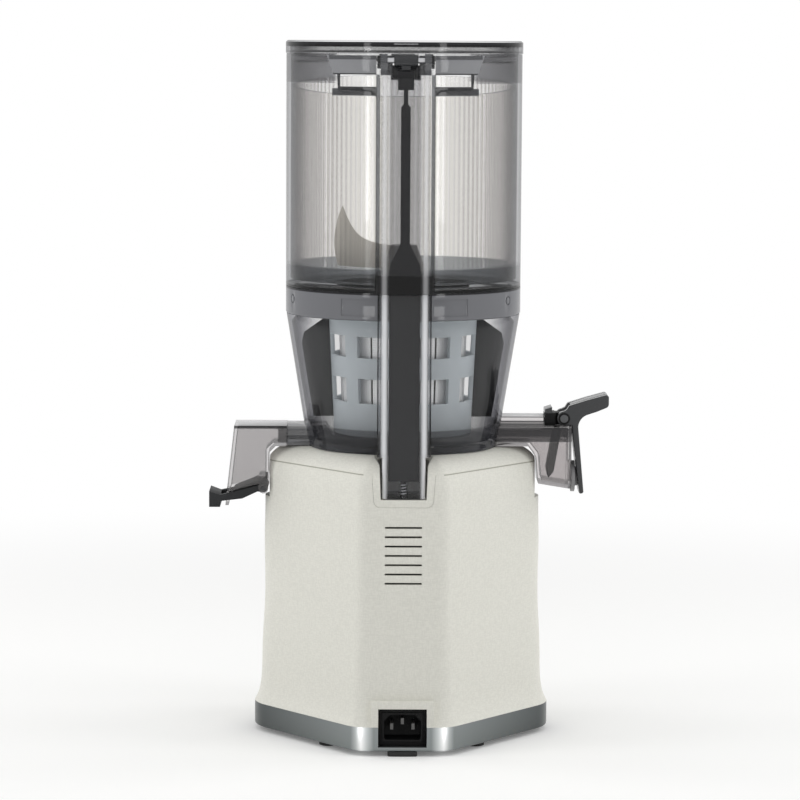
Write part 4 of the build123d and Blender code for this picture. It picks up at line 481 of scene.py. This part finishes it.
def zone_mask(tree, place, axes, aside, zone):
    """1 inside a zone, from its heights z, its distances x from the middle plane and the faces it takes."""
    masks = [band(tree, axes.outputs["Z"], *zone["z"])]
    if "x" in zone:
        masks.append(band(tree, aside, *zone["x"], soft=zone.get("soft", 0.0004)))
    if zone.get("rear"):
        back = add_node(
            tree, "ShaderNodeMath", operation="GREATER_THAN", values={1: 0.0}, links={0: axes.outputs["Y"]}
        )
        masks.append(back.outputs[0])
    if "faces" in zone:
        lean = add_node(tree, "ShaderNodeSeparateXYZ", links={0: place.outputs["Normal"]})
        size = add_node(tree, "ShaderNodeMath", operation="ABSOLUTE", links={0: lean.outputs["Z"]})
        test = "LESS_THAN" if zone["faces"] == "sides" else "GREATER_THAN"
        turned = add_node(tree, "ShaderNodeMath", operation=test, values={1: 0.5}, links={0: size.outputs[0]})
        masks.append(turned.outputs[0])
    return total(tree, *masks, operation="MULTIPLY")


def flute_shade_mask(tree, axes, count, heights):
    """1 along the painted shade on one side of each of count flutes round the axis, between two heights."""
    angle = add_node(
        tree, "ShaderNodeMath", operation="ARCTAN2", links={0: axes.outputs["Y"], 1: axes.outputs["X"]}
    )
    steps = add_node(
        tree, "ShaderNodeMath", operation="MULTIPLY", values={1: count / math.tau},
        links={0: angle.outputs[0]},
    )
    ridge = add_node(
        tree, "ShaderNodeMath", operation="PINGPONG", values={1: 0.5}, links={0: steps.outputs[0]}
    )
    line = add_node(
        tree, "ShaderNodeMapRange", {"From Min": 0.3, "From Max": 0.14}, {"Value": ridge.outputs[0]},
        interpolation_type="SMOOTHSTEP",
    )
    return total(tree, line.outputs[0], band(tree, axes.outputs["Z"], *heights), operation="MULTIPLY")


def clear_moulding(name, tints, turns=plain_turns, haze=None, zones=(), flutes=None):
    """A clear plastic whose walls darken as they turn away, with the gloss of its polished skin.

    tints are the colours at the given turns, from facing the eye to edge on. haze is a colour and the
    share of light that scatters in it. A zone has a shade for the light that goes through, or a haze
    of its own, which on some zones is a painted highlight. flutes are a count, the painted shade on
    one side of each flute and their heights.
    """
    material, tree = new_material(name)
    turn = add_node(tree, "ShaderNodeLayerWeight", {"Blend": 0.5})
    colour = ramp(tree, turn.outputs["Facing"], *zip(turns, tints))
    place = add_node(tree, "ShaderNodeTexCoord")
    axes = add_node(tree, "ShaderNodeSeparateXYZ", links={0: place.outputs["Object"]})
    aside = add_node(tree, "ShaderNodeMath", operation="ABSOLUTE", links={0: axes.outputs["X"]})
    cloud, share = haze or ("#808080", 0.0)
    clouds = shares = None
    for zone in zones:
        mask = zone_mask(tree, place, axes, aside.outputs[0], zone)
        if "shade" in zone:
            colour = dim(tree, colour, zone["shade"], mask)
        if "haze" in zone:
            tone, amount = zone["haze"]
            mixed = add_node(
                tree, "ShaderNodeMix", {6: linear(cloud), 7: linear(tone)},
                {0: mask, 6: clouds} if clouds else {0: mask}, data_type="RGBA",
            )
            level = add_node(
                tree, "ShaderNodeMix", {2: share, 3: amount}, {0: mask, 2: shares} if shares else {0: mask}
            )
            clouds, shares = mixed.outputs[2], level.outputs[0]
    if flutes:
        count, shade, heights = flutes
        colour = dim(tree, colour, shade, flute_shade_mask(tree, axes, count, heights))
    inside = add_node(tree, "ShaderNodeBsdfTransparent", links={"Color": colour})
    if haze or clouds:
        milk = add_node(
            tree, "ShaderNodeBsdfDiffuse", {"Color": linear(cloud)}, {"Color": clouds} if clouds else None
        )
        inside = add_node(
            tree, "ShaderNodeMixShader", {0: share},
            {0: shares, 1: inside.outputs[0], 2: milk.outputs[0]} if shares
            else {1: inside.outputs[0], 2: milk.outputs[0]},
        )
    slope = add_node(
        tree, "ShaderNodeMath", operation="POWER", values={1: 5.0}, links={0: turn.outputs["Facing"]}
    )
    mirror = add_node(
        tree, "ShaderNodeMapRange", {"To Min": facing_mirror, "To Max": edge_mirror},
        {"Value": slope.outputs[0]},
    )
    shine = add_node(tree, "ShaderNodeBsdfGlossy", {"Color": white, "Roughness": wall_gloss})
    wall = add_node(
        tree, "ShaderNodeMixShader", links={0: mirror.outputs[0], 1: inside.outputs[0], 2: shine.outputs[0]}
    )
    add_node(tree, "ShaderNodeOutputMaterial", links={"Surface": wall.outputs[0]})
    return material


hopper_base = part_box("hopper_column")[0].z
hopper_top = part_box("hopper_shell")[1].z
lid_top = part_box("lid")[1].z
bowl_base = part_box("juicing_bowl")[0].z
spout_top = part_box("pulp_chute")[1].z
half_column = 0.0192
half_rod = 0.0104
panel_low = hopper_top - 0.0132
flutes_low = hopper_base + 0.0148
collar_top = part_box("locking_collar")[1].z
dish = {"z": (0.2, flutes_low), "shade": "#e3e4e5"}

hopper_clear = clear_moulding(
    "smoked_copolyester", ("#fcfcfc", "#f6f6f6", "#ececec", "#d2d2d3", "#8f9193"),
    (0.1, 0.3, 0.5, 0.75, 0.96),
    zones=[
        dish,
        {"z": (hopper_base - 0.001, hopper_base + 0.0016), "shade": "#56585a", "faces": "sides"},
        {
            "z": (hopper_top - 0.019, hopper_top + 0.001), "x": (0.046, 0.08), "shade": "#dcdcdd",
            "soft": 0.002,
        },
        {"z": (0.4312, 0.4357), "x": (half_column + 0.0004, 0.0478), "haze": ("#3c3d40", 0.8), "rear": True},
        {"z": (0.4415, 0.4508), "x": (-0.01, 0.0095), "haze": ("#2a2b2e", 0.9), "rear": True},
    ],
)
# The liner's flutes carry painted shade on one side of each, standing in for the light they bend.
flute_clear = clear_moulding(
    "fluted_copolyester", ("#fdfdfc", "#f9f8f8", "#e8e7e7", "#a0a2a4"), (0.05, 0.35, 0.72, 0.96),
    zones=[dish], flutes=(120, "#f5f4f3", (flutes_low, hopper_top)),
)
column_clear = clear_moulding(
    "smoked_column_copolyester", ("#f5f5f5", "#b8b9bb", "#46494c"),
    zones=[
        {"z": (hopper_base, panel_low), "x": (-0.01, half_rod), "shade": "#e2e2e4", "soft": 0.001},
        # Pale haze bands along the corners: a painted highlight.
        {"z": (hopper_base, panel_low), "x": (0.0115, 0.0152), "haze": ("#eeeef0", 0.3), "soft": 0.0015},
        {"z": (hopper_base, panel_low), "x": (0.0168, half_column + 0.0004), "shade": "#c4c5c7"},
        {"z": (hopper_base, hopper_base + 0.012), "x": (-0.01, half_column), "shade": "#9a9b9e"},
        {"z": (panel_low, hopper_top), "x": (half_column, 0.06), "haze": ("#909194", 0.85)},
        {"z": (hopper_top - 0.0035, hopper_top + 0.001), "x": (half_column, 0.05), "haze": ("#5c5d60", 0.7)},
        {"z": (panel_low - 0.0003, panel_low + 0.0008), "x": (half_column, 0.047), "haze": ("#303133", 0.9)},
        {"z": (0.4290, 0.4372), "x": (half_column + 0.0004, 0.0445), "haze": ("#303133", 0.8)},
        {"z": (0.4372, panel_low), "x": (0.0422, 0.047), "haze": ("#303133", 0.8)},
        {"z": (panel_low - 0.0002, hopper_top + 0.004), "x": (-0.01, 0.0163), "haze": ("#58595c", 0.75)},
        {"z": (panel_low + 0.004, hopper_top + 0.004), "x": (0.0163, 0.0185), "haze": ("#1e1f21", 0.85)},
    ],
)
lid_clear = clear_moulding(
    "smoked_lid_copolyester", ("#f6f6f6", "#d6d6d7", "#808285"),
    zones=[
        {"z": (lid_top - 0.0040, lid_top + 0.002), "shade": "#66676a", "faces": "sides"},
        {"z": (lid_top - 0.0080, lid_top - 0.0068), "haze": ("#2c2d30", 0.35), "faces": "sides"},
        {"z": (lid_top - 0.0068, lid_top - 0.0040), "shade": "#f8f8f8", "faces": "sides"},
        {"z": (0.43, lid_top - 0.0092), "x": (-0.01, 0.0081), "haze": ("#3c3d3f", 0.85)},
    ],
)
bowl_clear = clear_moulding(
    "dark_smoked_copolyester", ("#f5f5f5", "#bdbdc0", "#606266"),
    zones=[
        {"z": (0.15, bowl_base + 0.016), "haze": ("#404145", 0.55)},
        {"z": (bowl_base + 0.016, bowl_base + 0.0275), "haze": ("#333438", 0.4), "soft": 0.002},
    ],
)
bowl_column_clear = clear_moulding(
    "smoked_bowl_column_copolyester", ("#f0f0f1", "#b4b5b8", "#4a4d50"),
    zones=[
        # Pale haze bands along the corners: a painted highlight.
        {"z": (0.15, 0.31), "x": (0.0112, 0.0150), "haze": ("#f2f3f6", 0.75), "soft": 0.0016},
        {"z": (0.15, 0.31), "x": (0.0168, 0.02), "shade": "#a4a5a8"},
    ],
)
collar_clear = clear_moulding(
    "smoked_collar_copolyester", ("#c8c9cb", "#8f9194", "#44474a"), haze=("#7b7c80", 0.8),
    zones=[{"z": (collar_top - 0.0014, collar_top + 0.001), "haze": ("#1c1d1f", 0.9)}],
)
chute_clear = clear_moulding(
    "smoked_chute_copolyester", ("#e9e8e8", "#bdbcbc", "#55575a"), haze=("#cac8c8", 0.07),
    zones=[
        {"z": (spout_top - 0.0021, spout_top + 0.001), "haze": ("#242527", 0.85), "faces": "sides"},
        # Top faces: a pale haze as a painted highlight.
        {"z": (spout_top - 0.001, spout_top + 0.001), "haze": ("#f4f4f5", 0.5), "faces": "tops"},
        {"z": (0.15, 0.3), "x": (0.05, 0.071), "haze": ("#5a5a5c", 0.5), "soft": 0.008},
    ],
)
spout_clear = clear_moulding(
    "smoked_spout_copolyester", ("#eae8e8", "#b6b5b5", "#4b4d50"), haze=("#cac8c8", 0.06),
    zones=[
        {
            "z": (spout_top - 0.0105, spout_top - 0.0005), "x": (0.05, 0.13), "haze": ("#3c3b3d", 0.6),
            "soft": 0.002,
        },
        {"z": (spout_top + 0.0052, spout_top + 0.008), "haze": ("#5a5b5d", 0.8), "faces": "sides"},
        {"z": (spout_top + 0.0002, spout_top + 0.0013), "haze": ("#38393b", 0.85), "faces": "sides"},
        # Top faces: a pale haze as a painted highlight.
        {"z": (spout_top + 0.003, spout_top + 0.009), "haze": ("#f0f0f1", 0.5), "faces": "tops"},
    ],
)

skin("hopper_shell", "hopper", hopper_clear)
skin("hopper_liner", "hopper", flute_clear, smooth=12, edge=0)
skin("hopper_column", "hopper", column_clear, edge=0.0007)
skin("lid", "lid", lid_clear)
skin("juicing_bowl", "bowl", bowl_clear)
skin("bowl_column", "bowl", bowl_column_clear)
skin("locking_collar", "bowl", collar_clear)
skin("juice_spout", "bowl", spout_clear)
skin("pulp_chute", "bowl", chute_clear)

# ------------------------------------------------------------------ opaque parts in view
# The inlet, feet, brush, wipers, auger, gate, flap, seal and rods are each moulded in one plastic or
# rubber. Each has a smooth skin over its solid, with the small rounds that its mould gives it.
skin("power_inlet", "base", black_abs)
skin("rubber_feet", "base", foot_rubber)
skin("brush_frame", "brush", cage_plastic)
skin("wiper_blades", "brush", black_rubber, edge=0.0002)
skin("auger", "auger", auger_plastic, edge=0)
skin("cutting_wing", "auger", wing_plastic, edge=0.0004)
skin("cap_bracket", "bowl", black_abs)
skin("pulp_gate", "pulp_gate", black_rubber, edge=0.0005)
skin("drip_flap", "bowl", black_rubber)
skin("cap_seal", "juice_cap", grey_silicone)
skin("upper_interlock_rod", "upper_rod", rod_plastic)
skin("lower_interlock_rod", "lower_rod", rod_plastic)


# ------------------------------------------------------------------ cap lever
# The juice cap's lever is moulded in dark grey ABS with a polished skin. It has a rounded boss on each
# side of the bracket's tongue, a broad handle and a long plate that carries the cap seal.
def prism(name, outline, near, far, body, material, edge):
    """A solid from an outline of (x, z) in millimetres, between two y in millimetres, with rounded edges."""
    count = len(outline)
    corners = [(x / 1000, y / 1000, z / 1000) for y in (near, far) for x, z in outline]
    walls = [(i, (i + 1) % count, count + (i + 1) % count, count + i) for i in range(count)]
    shape = bpy.data.meshes.new(name)
    shape.from_pydata(corners, [], [tuple(range(count)), tuple(range(2 * count - 1, count - 1, -1))] + walls)
    shape.materials.append(material)
    piece = bpy.data.objects.new(name, shape)
    bpy.context.scene.collection.objects.link(piece)
    deselect()
    bpy.context.view_layer.objects.active = piece
    piece.select_set(True)
    bpy.ops.object.mode_set(mode="EDIT")
    bpy.ops.mesh.select_all(action="SELECT")
    bpy.ops.mesh.normals_make_consistent(inside=False)
    bpy.ops.object.mode_set(mode="OBJECT")
    rounding = piece.modifiers.new("edge", "BEVEL")
    rounding.width = edge
    rounding.segments = 3
    rounding.angle_limit = math.radians(50)
    bpy.ops.object.modifier_apply(modifier="edge")
    bpy.ops.object.shade_smooth_by_angle(angle=math.radians(35))
    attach(piece, body)
    return piece


def ring_of(centre, radius, first, last, steps):
    """Points (x, z) on an arc, with angles in degrees from +X towards +Z."""
    angles = [math.radians(first + (last - first) * i / steps) for i in range(steps + 1)]
    return [(centre[0] + radius * math.cos(a), centre[1] + radius * math.sin(a)) for a in angles]


boss = ring_of((-108.9, 214.0), 4.8, -90, 85, 20)
handle = [(-110.5, 219.8), (-112.2, 222.6), (-124.2, 226.5), (-136.6, 229.9)]
tip = ring_of((-137.2, 228.2), 1.8, 90, 180, 6) + ring_of((-136.2, 223.9), 2.8, 180, 245, 5)
under = [(-131.0, 218.7), (-126.4, 217.2)] + ring_of((-127.6, 208.0), 9.1, 75, 5, 10)
plate = [(-118.6, 207.0), (-122.5, 164.2), (-121.9, 163.2), (-119.7, 163.0), (-114.5, 205.0)]
cheek = boss + handle + tip + under + plate + [(-114.5, 209.2)]
middle = [(-114.5, 209.2), (-113.4, 222.9)] + handle[2:] + tip + under + plate
tongue_side = 6.25
cap_side = 12.0

for name, outline, near, far, edge in (
    ("cap_lever_cheek_rear", cheek, tongue_side, cap_side, 0.0007),
    ("cap_lever_cheek_front", cheek, -cap_side, -tongue_side, 0.0007),
    ("cap_lever_middle", middle, -tongue_side, tongue_side, 0.0002),
):
    piece = prism(name, outline, near, far, "juice_cap", lever_plastic, edge)
    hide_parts("juice_cap_lever")
# The bosses turn on a steel pin. A black ring is pressed into each end of the bore, and a grey cap
# snaps over the pin's head and stands a little proud of the ring.
sunk = 0.3
boss_parts = (("ring", 4.0, 0.15, black_abs), ("cap", 2.7, 0.4, grey_abs))
for end, side in (("rear", 1), ("front", -1)):
    for part, radius, proud, finish in boss_parts:
        disc = ring_of((-108.9, 214.0), radius, 0, 345, 23)
        near, far = sorted((side * (cap_side - sunk), side * (cap_side + proud)))
        prism(f"cap_boss_{part}_{end}", disc, near, far, "juice_cap", finish, 0.0001)

# ------------------------------------------------------------------ bracket slope and gate lip
# The cap bracket is glued to the spout and its top slopes up to meet the lever's handle. The pulp
# gate has a stiff lip under the chute's edge, to be pulled down by a finger.
slope = [(-96.0, 217.2), (-96.0, 219.9), (-100.9, 221.5), (-100.9, 217.2)]
prism("bracket_slope", slope, -9.0, 9.0, "bowl", lever_plastic, 0.0003)

lip = [(91.0, 171.2), (91.6, 174.0), (114.0, 164.8), (113.4, 162.2)]
prism("gate_lip", lip, -14.3, 14.3, "pulp_gate", black_abs, 0.0005)

# ------------------------------------------------------------------ pieces kept as they are
# Small and inner pieces are machined, pressed or moulded to their final shape and show little from
# outside. They keep the frame's own surfaces, with the material of each.
carried = {
    perforated: ["strainer_mesh"],
    steel: [
        "base_screws", "drive_shaft", "layshaft_pin", "idler_pin", "lid_hinge_pin", "motor_can", "motor_rotor",
        "motor_pinion", "shaft_bearings", "switch_spindle", "auger_bush", "lower_rod_spring",
    ],
    nylon: ["idler_gear", "layshaft_gear", "output_gear"],
    pale_plastic: ["strainer_frame"],
    black_abs: ["cooling_fan", "safety_switch", "switch_plunger", "rotary_switch"],
    lever_plastic: ["cap_pin", "gate_pin"],
    auger_plastic: ["inlet_pins"],
    black_rubber: ["bowl_seal", "shaft_seal", "vibration_dampers"],
    pale_silicone: ["lid_seal"],
    laminate: ["control_board"],
    casting: ["gear_case_lower", "gear_case_cover"],
    ferrite: ["motor_magnets"],
}
for material, nodes in carried.items():
    for name in nodes:
        for place in frame["nodes"][name].material_slots:
            place.material = material
